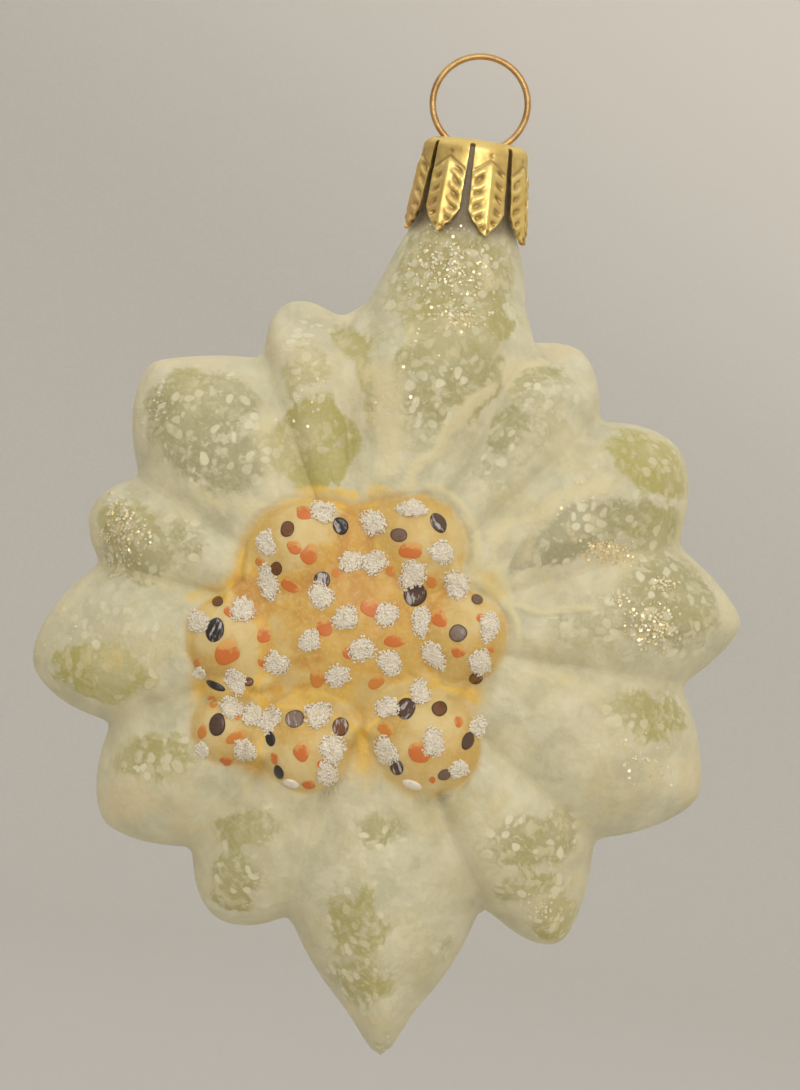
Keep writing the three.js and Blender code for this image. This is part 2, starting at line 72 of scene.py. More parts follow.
def turned(across: Array, along: Array, turn: Union[Array, float]) -> tuple[Array, Array]:
    """A place turned anticlockwise about the origin by an angle in radians."""
    return across * np.cos(turn) - along * np.sin(turn), across * np.sin(turn) + along * np.cos(turn)


def leaned(x: Array, z: Array) -> tuple[Array, Array]:
    """How far a place at x, z lies right of and above the flower's centre, seen with the neck leaning."""
    return turned(x - CENTRE[0], z - CENTRE[1], -LEAN)


def unleaned(right: Array, up: Array) -> tuple[Array, Array]:
    """x and z of a place given by right and up from the flower's centre, with the neck leaning."""
    dx, dz = turned(right, up, LEAN)
    return CENTRE[0] + dx, CENTRE[1] + dz


def ripple(x: Array, z: Array, wave: float, seed: int) -> Array:
    """Soft irregular waves between about -1 and 1: a third of the sum of six sines in different directions.

    Args:
        x: First coordinate.
        z: Second coordinate.
        wave: Typical wavelength.
        seed: Seed of the directions, lengths and phases.

    Returns:
        The height of the waves at each point.
    """
    draw = np.random.default_rng(seed)
    total = np.zeros(np.broadcast(x, z).shape)
    for _ in range(6):
        direction, phase = draw.uniform(0, 2 * math.pi, 2)
        number = 2 * math.pi / (wave * draw.uniform(0.7, 1.4))
        total += np.sin(number * (x * math.cos(direction) + z * math.sin(direction)) + phase)
    return total / 3


def turns(count: int, draw: np.random.Generator) -> Array:
    """Random rotation matrices from unit quaternions.

    Args:
        count: How many.
        draw: Source of random numbers.

    Returns:
        An array of shape (count, 3, 3).
    """
    q = draw.normal(size=(count, 4))
    w, x, y, z = (q / np.linalg.norm(q, axis=1, keepdims=True)).T
    rows = [
        [1 - 2 * (y * y + z * z), 2 * (x * y - z * w), 2 * (x * z + y * w)],
        [2 * (x * y + z * w), 1 - 2 * (x * x + z * z), 2 * (y * z - x * w)],
        [2 * (x * z - y * w), 2 * (y * z + x * w), 1 - 2 * (x * x + y * y)],
    ]
    return np.moveaxis(np.array(rows), 2, 0)


def frames_on(normal: Array) -> tuple[Array, Array]:
    """Two directions that lie in the surface, square to each other and to each unit normal.

    Args:
        normal: Unit normals, shape (..., 3).

    Returns:
        The direction nearest to +X in the surface, and the one square to it that rises with +Z.
    """
    right = np.zeros_like(normal)
    right[..., 0] = 1
    right -= normal * np.sum(right * normal, axis=-1, keepdims=True)
    right /= np.linalg.norm(right, axis=-1, keepdims=True)
    return right, np.cross(normal, right)


def each(items: Sequence, *names: str) -> list[Array]:
    """One array for each named field of the items, of shape (items, 1, 1)."""
    return [np.array([getattr(item, name) for item in items], float)[:, None, None] for name in names]


class MeshDraft:
    """Collects points, faces and vertex attributes, in millimetres, and makes one Blender mesh of them."""

    def __init__(self) -> None:
        """Starts empty."""
        self.points: list[Array] = []
        self.faces: list[list[list[int]]] = []
        self.values: dict[str, list[Array]] = {}
        self.count = 0

    def add(self, points: Array, **values: Array) -> Array:
        """Adds points and their attribute values.

        Args:
            points: Array of shape (..., 3).
            values: One array for each attribute, of the points' leading shape, with 3 more for a colour.

        Returns:
            The indices of the new points, in the points' leading shape.
        """
        shape = points.shape[:-1]
        flat = points.reshape(-1, 3)
        index = np.arange(self.count, self.count + len(flat)).reshape(shape)
        for name, value in values.items():
            value = np.asarray(value, float)
            size = () if value.shape == shape or value.ndim == 0 else value.shape[-1:]
            full = np.broadcast_to(value, shape + size).reshape(len(flat), *size)
            self.values.setdefault(name, []).append(full)
        self.points.append(flat)
        self.count += len(flat)
        return index

    def weave(self, index: Array, wrap: bool = False, flip: bool = False) -> None:
        """Joins a grid of points with quads.

        Args:
            index: Indices of shape (rows, columns); the front side has columns to the right and rows downwards.
            wrap: Whether the last column joins the first.
            flip: Whether the faces turn the other way.
        """
        right = np.roll(index, -1, axis=1) if wrap else index[:, 1:]
        left = index if wrap else index[:, :-1]
        quads = np.stack([left[:-1], left[1:], right[1:], right[:-1]], axis=-1).reshape(-1, 4)
        self.face(quads[:, ::-1] if flip else quads)

    def fan(self, pole: int, ring: Array, flip: bool = False) -> None:
        """Closes a ring of points with triangles to one pole."""
        triangles = np.stack([np.full(len(ring), pole), ring, np.roll(ring, -1)], axis=-1)
        self.face(triangles[:, ::-1] if flip else triangles)

    def lenses(self, top: Array, low: Array, peaks: Array, feet: Array) -> None:
        """Closes low domes, each with a top and an underside that meet in the top's outermost ring.

        Args:
            top: Indices of the tops' points, shape (domes, rings, spokes), from the middle out.
            low: Indices of the undersides' points, one ring fewer.
            peaks: Index of each top's pole.
            feet: Index of each underside's pole.
        """
        for above, below, peak, foot in zip(top, low, peaks, feet):
            self.weave(above, wrap=True)
            self.fan(peak, above[0])
            self.weave(np.vstack([below, above[-1:]]), wrap=True, flip=True)
            self.fan(foot, below[0], flip=True)

    def face(self, faces: Array) -> None:
        """Adds faces, one row of point indices each."""
        self.faces.append(faces.tolist())

    def build(self, name: str, material: Optional[bpy.types.Material] = None) -> bpy.types.Object:
        """Makes the object, smooth shaded, at the origin.

        Args:
            name: Name of the object and its mesh.
            material: Its material, if it gets one here.

        Returns:
            The new object, linked to the scene.
        """
        mesh = bpy.data.meshes.new(name)
        points = np.concatenate(self.points) * MM
        mesh.from_pydata(points.tolist(), [], [f for group in self.faces for f in group])
        for key, parts in self.values.items():
            value = np.concatenate(parts)
            if value.ndim == 1:
                mesh.attributes.new(key, "FLOAT", "POINT").data.foreach_set("value", value.astype(np.float32))
            else:
                full = np.concatenate([value, np.ones((len(value), 1))], axis=1)
                layer = mesh.attributes.new(key, "FLOAT_COLOR", "POINT")
                layer.data.foreach_set("color", full.astype(np.float32).ravel())
        mesh.polygons.foreach_set("use_smooth", np.ones(len(mesh.polygons), bool))
        mesh.update()
        if material:
            mesh.materials.append(material)
        made = bpy.data.objects.new(name, mesh)
        bpy.context.scene.collection.objects.link(made)
        return made


# -------- the form of the glass


@dataclass(frozen=True)
class Bead:
    """One dome of the flower's middle: its centre to the right and up, half width, base height and rise."""

    right: float
    up: float
    radius: float
    base: float
    rise: float
    tall: float = 1.0  # height over width

    def outside(self, right: Array, up: Array) -> Array:
        """How far a place lies outside the edge of the dome, in millimetres; below 0 inside it."""
        across, along = (right - self.right) / self.radius, (up - self.up) / (self.radius * self.tall)
        return (np.hypot(across, along) - 1) * self.radius

    def height(self, right: Array, up: Array) -> Array:
        """Height above the parting plane: base + rise * (1 - q ^ 2) ^ 0.58, less 2.6 for each millimetre outside.

        Args:
            right: How far right of the centre, with the neck leaning.
            up: How far up from it.

        Returns:
            The height at each point.
        """
        out = self.outside(right, up)
        share = np.clip(1 - (1 + out / self.radius) ** 2, 0, 1)
        return self.base + self.rise * share**0.58 - 2.6 * np.maximum(out, 0)


BEADS = (
    Bead(-6.4, 7.9, 4.9, 9.5, 4.1),
    Bead(5.0, 8.3, 5.0, 9.4, 4.0),
    Bead(9.4, -0.6, 4.6, 9.5, 3.8),
    Bead(-13.1, -0.9, 4.5, 9.1, 3.7),
    Bead(-13.6, -9.6, 3.5, 8.8, 3.0),
    Bead(-5.6, -11.6, 4.3, 9.4, 3.7),
    Bead(6.1, -11.1, 5.3, 9.1, 4.2),
    Bead(-1.7, 0.9, 11.0, 7.2, 6.5, 0.95),
)


def merged(first: Array, second: Array, fillet: float) -> Array:
    """The higher of two heights, with a fillet where they meet: max + max(fillet - difference, 0)^2 / (4 fillet)."""
    near = np.maximum(fillet - np.abs(first - second), 0)
    return np.maximum(first, second) + near**2 / (4 * fillet)


@dataclass(frozen=True)
class Petal:
    """One petal of the outline: angles clockwise from straight up, in degrees; reach from the centre."""

    tip: float
    reach: float
    before: float  # roundness of the flank before the tip
    after: float  # roundness of the flank after it


@dataclass(frozen=True)
class Relief:
    """The relief of one sheet of the flower, in millimetres."""

    depth: float
    crease: float  # depth of the creases between petals
    sharpness: float  # power that narrows the creases
    puff: float  # how far each petal swells
    moat: float  # depth of the dish round the middle, its place and its width
    moat_at: float
    moat_wide: float
    dome: float  # rise of the middle
    sign: int  # direction of the sheet along y


class Side(Enum):
    """The two sheets of the flower, outside and, plainer, in the hollow. Relief's values in order."""

    FRONT = Relief(10.0, 0.75, 4, 0.55, 0.5, 19.0, 3.5, 0.0, -1)
    BACK = Relief(8.8, 1.9, 5, 0.8, 1.0, 11.5, 3.2, 1.0, 1)
    FRONT_HOLLOW = Relief(10.0, 2.5, 4, 0.8, 1.7, 16.5, 4.2, 0.0, -1)
    BACK_HOLLOW = Relief(8.8, 2.1, 4, 0.7, 1.2, 11.0, 5.0, 0.8, 1)


@dataclass
class GlassForm:
    """The surface of the blown glass as functions of place: outline, relief of both sheets, and neck."""

    seam_z: float = -24.0  # where the petals end and the neck's tube begins
    rim_z: float = -8.95  # where the neck ends
    wall: float = 0.85
    lip: float = 0.2  # rise of the rim between its walls
    flare: tuple[float, float] = (0.5, 0.2)  # how fast the neck widens and deepens below the seam
    hollow_reach: float = 37.5  # how far the hollow runs at most, and its gap to the wall
    hollow_gap: float = 0.4
    petals_from: float = 12.0  # radius at which the petals begin
    waviness: float = 0.16  # height of the soft waves on them
    neck_from_z: float = -33.0  # where they begin to turn into the neck
    sheet_fillet: float = 1.1  # fillet between the beads and the petals
    bead_fillet: float = 1.5  # and between beads
    web: float = 11.2  # height of the bed between the beads
    petals: Sequence[Petal] = (
        Petal(30, 35.2, 1.6, 1.8),
        Petal(53.5, 36.2, 1.8, 1.5),
        Petal(81.5, 37.7, 1.15, 1.25),
        Petal(109.5, 37.3, 1.3, 1.3),
        Petal(140, 36.9, 1.15, 2.1),
        Petal(170.5, 40.6, 1.15, 1.15),
        Petal(199.5, 32.5, 2.0, 1.7),
        Petal(226, 32.5, 1.3, 1.5),
        Petal(257, 33.5, 1.6, 1.5),
        Petal(286.5, 30.0, 1.8, 1.8),
        Petal(314, 34.3, 1.5, 0.95),
        Petal(340, 33.6, 2.4, 1.8),
    )
    notches: Sequence[tuple[float, float]] = (
        (23, 33.1), (40.8, 31.0), (67.5, 32.2), (92.5, 31.9), (125, 30.9), (149.5, 29.6), (187.5, 29.4),
        (211, 27.7), (242.5, 26.9), (276.5, 27.2), (296.5, 27.1), (332, 28.8), (347.5, 31.3),
    )
    neck_outline: Sequence[tuple[float, float]] = (
        (349.6, 31.6), (353.3, 32.8), (354.6, 34.15), (355.6, 35.6), (357.6, 38.7), (359.4, 41.5),
        (360.2, 48.2), (370.4, 49.1), (371.8, 43.4), (375.4, 40.1), (378.7, 35.9),
    )
    neck_profile: Sequence[tuple[float, float, float, float]] = (
        # height, half width, half depth, middle
        (-8.95, 4.55, 4.55, 0.2), (-13.0, 4.55, 4.55, 0.2), (-15.2, 4.6, 4.6, 0.2), (-16.6, 4.9, 4.9, 0.1),
        (-17.8, 5.5, 5.5, 0.05), (-19.3, 6.15, 6.1, 0.0), (-21.4, 6.85, 6.6, -0.1), (-24.0, 7.55, 7.1, -0.45),
    )
    nub: tuple[float, float, float] = (170.5, 2.6, 2.9)  # the sealed tip: angle, height, spread
    steps_per_degree: int = 4
    softening: int = 36
    neck_softening: int = 160
    neck_turn: float = 6.6  # where the middle of the neck lies, in degrees

    @cached_property
    def reach_table(self) -> Array:
        """The outline, with its corners softened everywhere but at the neck.

        Returns:
            Its reach at even steps of angle.
        """
        angle = np.arange(360 * self.steps_per_degree) / self.steps_per_degree
        raw = self._raw_reach(angle)
        soft = raw
        for _ in range(self.softening):
            soft = (np.roll(soft, 1) + 2 * soft + np.roll(soft, -1)) / 4
        from_neck = np.abs((angle - self.neck_turn + 540) % 360 - 180)
        return raw + (soft - raw) * smooth(15, 20, from_neck)

    def _raw_reach(self, angle: Array) -> Array:
        """Reach of the outline: each flank runs from a notch to a tip as 1 - (1 - t) ^ roundness.

        Args:
            angle: Angles in degrees, from 0 to 360.

        Returns:
            The distance of the outline from the flower's centre at each angle.
        """
        notch_at, notch_reach = np.array(self.notches).T
        a = np.where(angle < notch_at[0], angle + 360, angle)
        k = np.clip(np.searchsorted(notch_at[1:], a), 0, len(self.petals) - 1)
        tip, reach, before, after = np.array([[p.tip, p.reach, p.before, p.after] for p in self.petals]).T
        rising = a < tip[k]
        near = np.where(rising, k, k + 1)
        t = np.clip((a - notch_at[near]) / (tip[k] - notch_at[near]), 0, 1)
        low = notch_reach[near]
        flank = low + (reach[k] - low) * (1 - (1 - t) ** np.where(rising, before[k], after[k]))
        flank = flank + self.nub[1] * bell(a - self.nub[0], self.nub[2])
        knots = np.array([self.notches[-1], *self.neck_outline, (notch_at[0] + 360, notch_reach[0])])
        return np.where(a > notch_at[-1], np.interp(a, knots[:, 0], knots[:, 1]), flank)

    def reach(self, angle: Array, inset: float = 0.0) -> Array:
        """Reach of the outline, or of the hollow, which stops short of corners and of the nub.

        Args:
            angle: Angles in degrees.
            inset: 0 for the outline, the wall's thickness for the hollow.

        Returns:
            The distance from the flower's centre at each angle.
        """
        table = self.reach_table
        count = len(table)

        def outline(a: Array) -> Array:
            """The outline's reach at each angle, read from the table."""
            return np.interp((a % 360) * self.steps_per_degree, np.arange(count + 1), np.append(table, table[0]))

        if not inset:
            return outline(angle)
        from_neck = np.abs((angle + 180) % 360 - 180 - self.neck_turn)
        least = np.min([outline(angle + d) for d in (-3, -1.5, 0, 1.5, 3)], axis=0)
        return np.minimum(least, self.hollow_reach + 20 * smooth(30, 15, from_neck)) - inset - self.hollow_gap

    def across(self, angle: Array) -> Array:
        """Where an angle lies across its petal.

        Args:
            angle: Angles in degrees.

        Returns:
            0 on the petal's middle line, 1 in the crease on either side.
        """
        knots = [(at, 1.0) for at, _ in self.notches] + [(p.tip, 0.0) for p in self.petals]
        first, last = self.notches[0][0], self.notches[-1][0]
        knots += [((last + first + 360) / 2, 0.0), (first + 360, 1.0)]
        at, value = np.array(sorted(knots)).T
        return np.interp((angle - first) % 360 + first, at, value)

    @cached_property
    def neck_table(self) -> Array:
        """The neck's profile with its corners softened.

        Returns:
            Rows of height, half width, half depth and middle, from the seam up to the rim.
        """
        z = np.linspace(self.seam_z, self.rim_z, 201)
        knots = np.array(self.neck_profile)[::-1]
        columns = [np.interp(z, knots[:, 0], knots[:, k]) for k in (1, 2, 3)]
        for _ in range(self.neck_softening):
            for c in columns:
                c[1:-1] = (c[:-2] + 2 * c[1:-1] + c[2:]) / 4
        return np.array([z, *columns])

    def neck(self, z: Array) -> tuple[Array, Array, Array]:
        """Half width, half depth and middle of the neck at each height; the seam's values below it."""
        table = self.neck_table
        return tuple(np.interp(z, table[0], column) for column in table[1:])

    def cushion(self, x: Array, z: Array, side: Side, inset: float = 0.0) -> Array:
        """Height of the petals above the parting plane, without beads or neck.

        A round-edged cushion, depth * sqrt(1 - q ^ 4.4) with q the share of the reach, is puffed along each petal,
        creased between petals and dished round the middle.

        Args:
            x: x of each point.
            z: z of each point.
            side: Which sheet.
            inset: How far the surface lies inside the outer one.

        Returns:
            The height at each point.
        """
        relief = side.value
        dx, dz = x - CENTRE[0], z - CENTRE[1]
        r = np.hypot(dx, dz)
        angle = np.degrees(np.arctan2(dx, dz))
        reach = self.reach(angle, inset)
        round_ = np.sqrt(1 - np.minimum(1, r / reach) ** 4.4)
        along = np.clip((r - self.petals_from) / (reach - self.petals_from), 0, 1)
        across = self.across(angle)
        crease = relief.crease * across**relief.sharpness * smooth(0, 0.35, along) * round_
        puff = relief.puff * (1 - across**2) * np.sin(math.pi * along**0.8) * round_
        moat = relief.moat * bell(r - relief.moat_at, relief.moat_wide)
        wave = 0.0 if inset else self.waviness * ripple(x, z, 8.5, 3 if side is Side.FRONT else 4) * round_
        return (relief.depth - inset) * round_ + puff - crease - moat + relief.dome * bell(r, 8) + wave

    def height(self, x: Array, z: Array, side: Side, inset: float = 0.0) -> Array:
        """Height of the glass above the parting plane, 0 or more.

        The beads stand out of the front cushion, and both cushions turn into the round neck.

        Args:
            x: x of each point.
            z: z of each point.
            side: Which sheet.
            inset: How far the surface lies inside the outer one.

        Returns:
            The height at each point.
        """
        cushion = self.cushion(x, z, side, inset)
        if side is Side.FRONT:
            cushion = merged(cushion, self.beads(x, z), self.sheet_fillet)
        width, depth, middle = self.neck(np.maximum(z, self.seam_z))
        below = np.maximum(0, self.seam_z - z)
        half_width = width - inset + self.flare[0] * below
        half_depth = depth - inset + self.flare[1] * below
        neck = half_depth * np.sqrt(np.maximum(0, 1 - ((x - middle) / half_width) ** 2))
        share = smooth(self.neck_from_z, self.seam_z, z)
        return np.maximum(0, cushion + (neck - cushion) * share)

    def beads(self, x: Array, z: Array) -> Array:
        """Height of the beads, merged into one another by a narrow fillet, bedded on a web, and a little uneven.

        Args:
            x: x of each point.
            z: z of each point.

        Returns:
            The height above the parting plane at each point.
        """
        right, up = leaned(x, z)
        outside = np.sort([bead.outside(right, up) for bead in BEADS], axis=0)
        web = self.web - 20 * smooth(1.0, 6.0, np.maximum(outside[0], 0) + np.maximum(outside[1], 0))
        total = BEADS[-1].height(right, up) + 0.12 * ripple(x, z, 4.5, 21)
        total = merged(total, web, self.bead_fillet)
        for bead in BEADS[:-1]:
            total = merged(total, bead.height(right, up), self.bead_fillet)
        return total + 0.05 * ripple(x, z, 3.0, 22)

    def columns(self, flank_steps: int, neck_steps: int, inset: float) -> tuple[Array, int]:
        """The columns that the glass is divided into, clockwise from the neck's right side.

        Args:
            flank_steps: Columns along each flank of a petal.
            neck_steps: Columns across half of the neck.
            inset: How far the surface lies inside the outer one.

        Returns:
            An array of (x, z, depth) rows, with depth 0 on the outline, and how many of them are outline.
        """
        width, depth, middle = (float(v) for v in self.neck(self.seam_z))
        width, depth = width - inset, depth - inset

        def angle_of(x: float) -> float:
            """The angle of a place on the seam."""
            return math.degrees(math.atan2(x - CENTRE[0], self.seam_z - CENTRE[1]))

        stops = [(angle_of(middle + width), self.notches[0][0], max(1, flank_steps // 2))]
        for k, petal in enumerate(self.petals):
            stops.append((self.notches[k][0], petal.tip, flank_steps))
            stops.append((petal.tip, self.notches[k + 1][0], flank_steps))
        stops.append((self.notches[-1][0], angle_of(middle - width) + 360, max(1, flank_steps // 2)))
        angle = np.concatenate([np.linspace(a, b, n, endpoint=False) for a, b, n in stops])
        reach = self.reach(angle, inset)
        turn = np.radians(angle)
        x, z = CENTRE[0] + reach * np.sin(turn), CENTRE[1] + reach * np.cos(turn)
        outline = np.stack([x, z, np.zeros_like(turn)], axis=1)
        outline[0] = (middle + width, self.seam_z, 0)
        phi = np.pi * (1 - np.arange(neck_steps) / neck_steps)
        x = middle + width * np.cos(phi)
        seam = np.stack([x, np.full(neck_steps, self.seam_z), depth * np.sin(phi)], axis=1)
        return np.concatenate([outline, seam]), len(outline)


@dataclass
class Drape:
    """Lays paint and grit over the beads and petals, in the places where they are seen from the front."""

    form: GlassForm
    step: float = 0.06  # over which the slope is taken
    steepest: float = 2.2  # slope past which the lift grows no more

    def height(self, right: Array, up: Array) -> Array:
        """Height of the glass at places to the right and up from the flower's centre, with the neck leaning."""
        return self.form.height(*unleaned(right, up), Side.FRONT)

    def points(self, right: Array, up: Array, lift: Array) -> Array:
        """Points on the glass, lifted off it.

        Args:
            right: How far right of the centre, with the neck leaning.
            up: Up from it.
            lift: Height above the glass, square to it as far as its slope allows.

        Returns:
            The points as x, y, z.
        """
        step, level = self.step, self.height(right, up)
        slope = np.hypot(self.height(right + step, up) - level, self.height(right, up + step) - level) / step
        x, z = unleaned(right, up)
        return np.stack([x, -level - lift * np.sqrt(1 + np.minimum(slope, self.steepest) ** 2), z], axis=-1)


# -------- materials


LIGHT_SHARE = 0.78  # what the studio light returns from white


def paint(red: float, green: float, blue: float) -> Colour:
    """The base colour, linear, of a paint that looks like this 0 to 255 colour under the studio light.

    Args:
        red: Red as it looks.
        green: Green as it looks.
        blue: Blue as it looks.

    Returns:
        The base colour.
    """
    shown = np.array([red, green, blue]) / 255
    linear = np.where(shown <= 0.04045, shown / 12.92, ((shown + 0.055) / 1.055) ** 2.4)
    return tuple(float(v) for v in np.clip(linear / LIGHT_SHARE, 0, 0.95))


class Recipe:
    """Builds one node material, step by step, around a Principled shader."""

    def __init__(self, name: str) -> None:
        """Starts the material with its output and shader.

        Args:
            name: The material's name.
        """
        self.material = bpy.data.materials.new(name)
        self.material.use_nodes = True
        self.tree = self.material.node_tree
        self.tree.nodes.clear()
        output = self.tree.nodes.new("ShaderNodeOutputMaterial")
        self.shader = self.tree.nodes.new("ShaderNodeBsdfPrincipled")
        self.tree.links.new(self.shader.outputs[0], output.inputs["Surface"])

    def node(self, kind: str, **settings: object) -> bpy.types.Node:
        """A new node.

        Args:
            kind: The node's type.
            settings: Its properties.

        Returns:
            The node.
        """
        made = self.tree.nodes.new(kind)
        for key, value in settings.items():
            setattr(made, key, value)
        return made

    def feed(self, socket: Socket, value: Union[Value, Colour]) -> None:
        """Links a socket to an input, or sets the input to a number, vector or colour.

        Args:
            socket: The input.
            value: What it gets.
        """
        if isinstance(value, bpy.types.NodeSocket):
            self.tree.links.new(value, socket)
        elif isinstance(value, tuple) and socket.type == "RGBA":
            socket.default_value = (*value, 1.0)
        else:
            socket.default_value = value

    def set(self, **inputs: Union[Value, Colour]) -> None:
        """Sets or links inputs of the shader, named with underscores for spaces."""
        for key, value in inputs.items():
            self.feed(self.shader.inputs[key.replace("_", " ")], value)

    def wired(self, kind: str, inputs: Union[tuple, dict], output: Union[int, str] = 0, **settings: object) -> Socket:
        """A new node with its inputs linked or set.

        Args:
            kind: The node's type.
            inputs: Its inputs' values, in order or by name or place.
            output: Name or place of the output wanted.
            settings: The node's properties.

        Returns:
            That output.
        """
        node = self.node(kind, **settings)
        for key, value in inputs.items() if isinstance(inputs, dict) else enumerate(inputs):
            self.feed(node.inputs[key], value)
        return node.outputs[output]

    def math(self, operation: str, a: Value, b: Value, c: Value = 0.0, clamp: bool = False) -> Socket:
        """A Math node's result for up to three values."""
        return self.wired("ShaderNodeMath", (a, b, c), operation=operation, use_clamp=clamp)

    def mix(self, factor: Value, a: Union[Socket, Colour], b: Union[Socket, Colour]) -> Socket:
        """A colour between a, at factor 0, and b, at factor 1."""
        return self.wired("ShaderNodeMix", {0: factor, 6: a, 7: b}, 2, data_type="RGBA")

    def step(self, value: Value, low: float, high: float, to: tuple[float, float] = (0.0, 1.0)) -> Socket:
        """A smooth step of a value between low and high, from the first to the second number of to."""
        return self.wired("ShaderNodeMapRange", (value, low, high, *to), interpolation_type="SMOOTHSTEP")

    def place(self) -> Socket:
        """Object coordinates, in metres."""
        return self.node("ShaderNodeTexCoord").outputs["Object"]

    def stretched(self, vector: Socket, x: float, y: float, z: float) -> Socket:
        """A vector scaled by three numbers."""
        return self.wired("ShaderNodeMapping", {"Vector": vector, "Scale": (x, y, z)})

    def noise(self, vector: Socket, scale: float, detail: float, roughness: float = 0.5, output: str = "Fac") -> Socket:
        """Noise from 0 to 1, of so many cells in a unit of the vector, or its colour."""
        inputs = {"Vector": vector, "Scale": scale, "Detail": detail, "Roughness": roughness}
        return self.wired("ShaderNodeTexNoise", inputs, output)

    def bent(self, vector: Socket, scale: float, amount: float) -> Socket:
        """A vector pushed about by noise of its own scale, by up to half the amount on each axis."""
        push = self.noise(vector, scale, 1.0, output="Color")
        return self.wired("ShaderNodeVectorMath", (push, (amount,) * 3, vector), operation="MULTIPLY_ADD")

    def ragged(self, field: Value, first: Socket, much: float, second: Socket, more: float) -> Socket:
        """A field with two noises added to it: field + much * (first - 1/2) + more * (second - 1/2).

        Args:
            field: The field.
            first: The first noise.
            much: Its weight.
            second: The second noise.
            more: Its weight.

        Returns:
            The ragged field.
        """
        total = self.math("MULTIPLY_ADD", first, much, field)
        total = self.math("MULTIPLY_ADD", second, more, total)
        return self.math("SUBTRACT", total, (much + more) / 2)

    def blots(self, vector: Socket, scale: float, size: float, kept: float) -> Socket:
        """Loose round blots, from the distance to scattered points.

        Args:
            vector: Where they are laid out.
            scale: How many fit in a metre.
            size: Their radius, as a share of the space that one has.
            kept: The share of the points that have a blot.

        Returns:
            1 inside a blot, 0 outside it.
        """
        cells = self.node("ShaderNodeTexVoronoi")
        self.feed(cells.inputs["Vector"], vector)
        self.feed(cells.inputs["Scale"], scale)
        chance = self.wired("ShaderNodeSeparateColor", (cells.outputs["Color"],))
        present = self.step(chance, kept + 0.02, kept - 0.02)
        inside = self.step(cells.outputs["Distance"], size + 0.07, size - 0.07)
        return self.math("MULTIPLY", present, inside)

    def attribute(self, name: str, output: str = "Fac") -> Socket:
        """A vertex attribute of the piece."""
        return self.node("ShaderNodeAttribute", attribute_name=name).outputs[output]

    def bump(self, height: Socket, distance: float, strength: float) -> Socket:
        """A bumped normal; distance is in metres for each unit of height."""
        return self.wired("ShaderNodeBump", {"Strength": strength, "Distance": distance, "Height": height})

    def polar(self, across: float, along: float) -> Socket:
        """Coordinates for strokes that run outwards from the flower's centre.

        Args:
            across: How many noise cells fit in one radian.
            along: How many noise cells fit in a metre outwards.

        Returns:
            A vector of (direction * across, distance * along).
        """
        middle = (-CENTRE[0] * MM, 0, -CENTRE[1] * MM)
        centred = self.wired("ShaderNodeMapping", {"Vector": self.place(), "Location": middle})
        flat = self.wired("ShaderNodeVectorMath", (centred, (1, 0, 1)), operation="MULTIPLY")
        unit = self.wired("ShaderNodeVectorMath", (flat,), operation="NORMALIZE")
        length = self.wired("ShaderNodeVectorMath", (flat,), "Value", operation="LENGTH")
        wide = self.wired("ShaderNodeVectorMath", {0: unit, "Scale": across}, operation="SCALE")
        out = self.wired("ShaderNodeCombineXYZ", {"Y": self.math("MULTIPLY", length, along)})
        return self.wired("ShaderNodeVectorMath", (wide, out), operation="ADD")


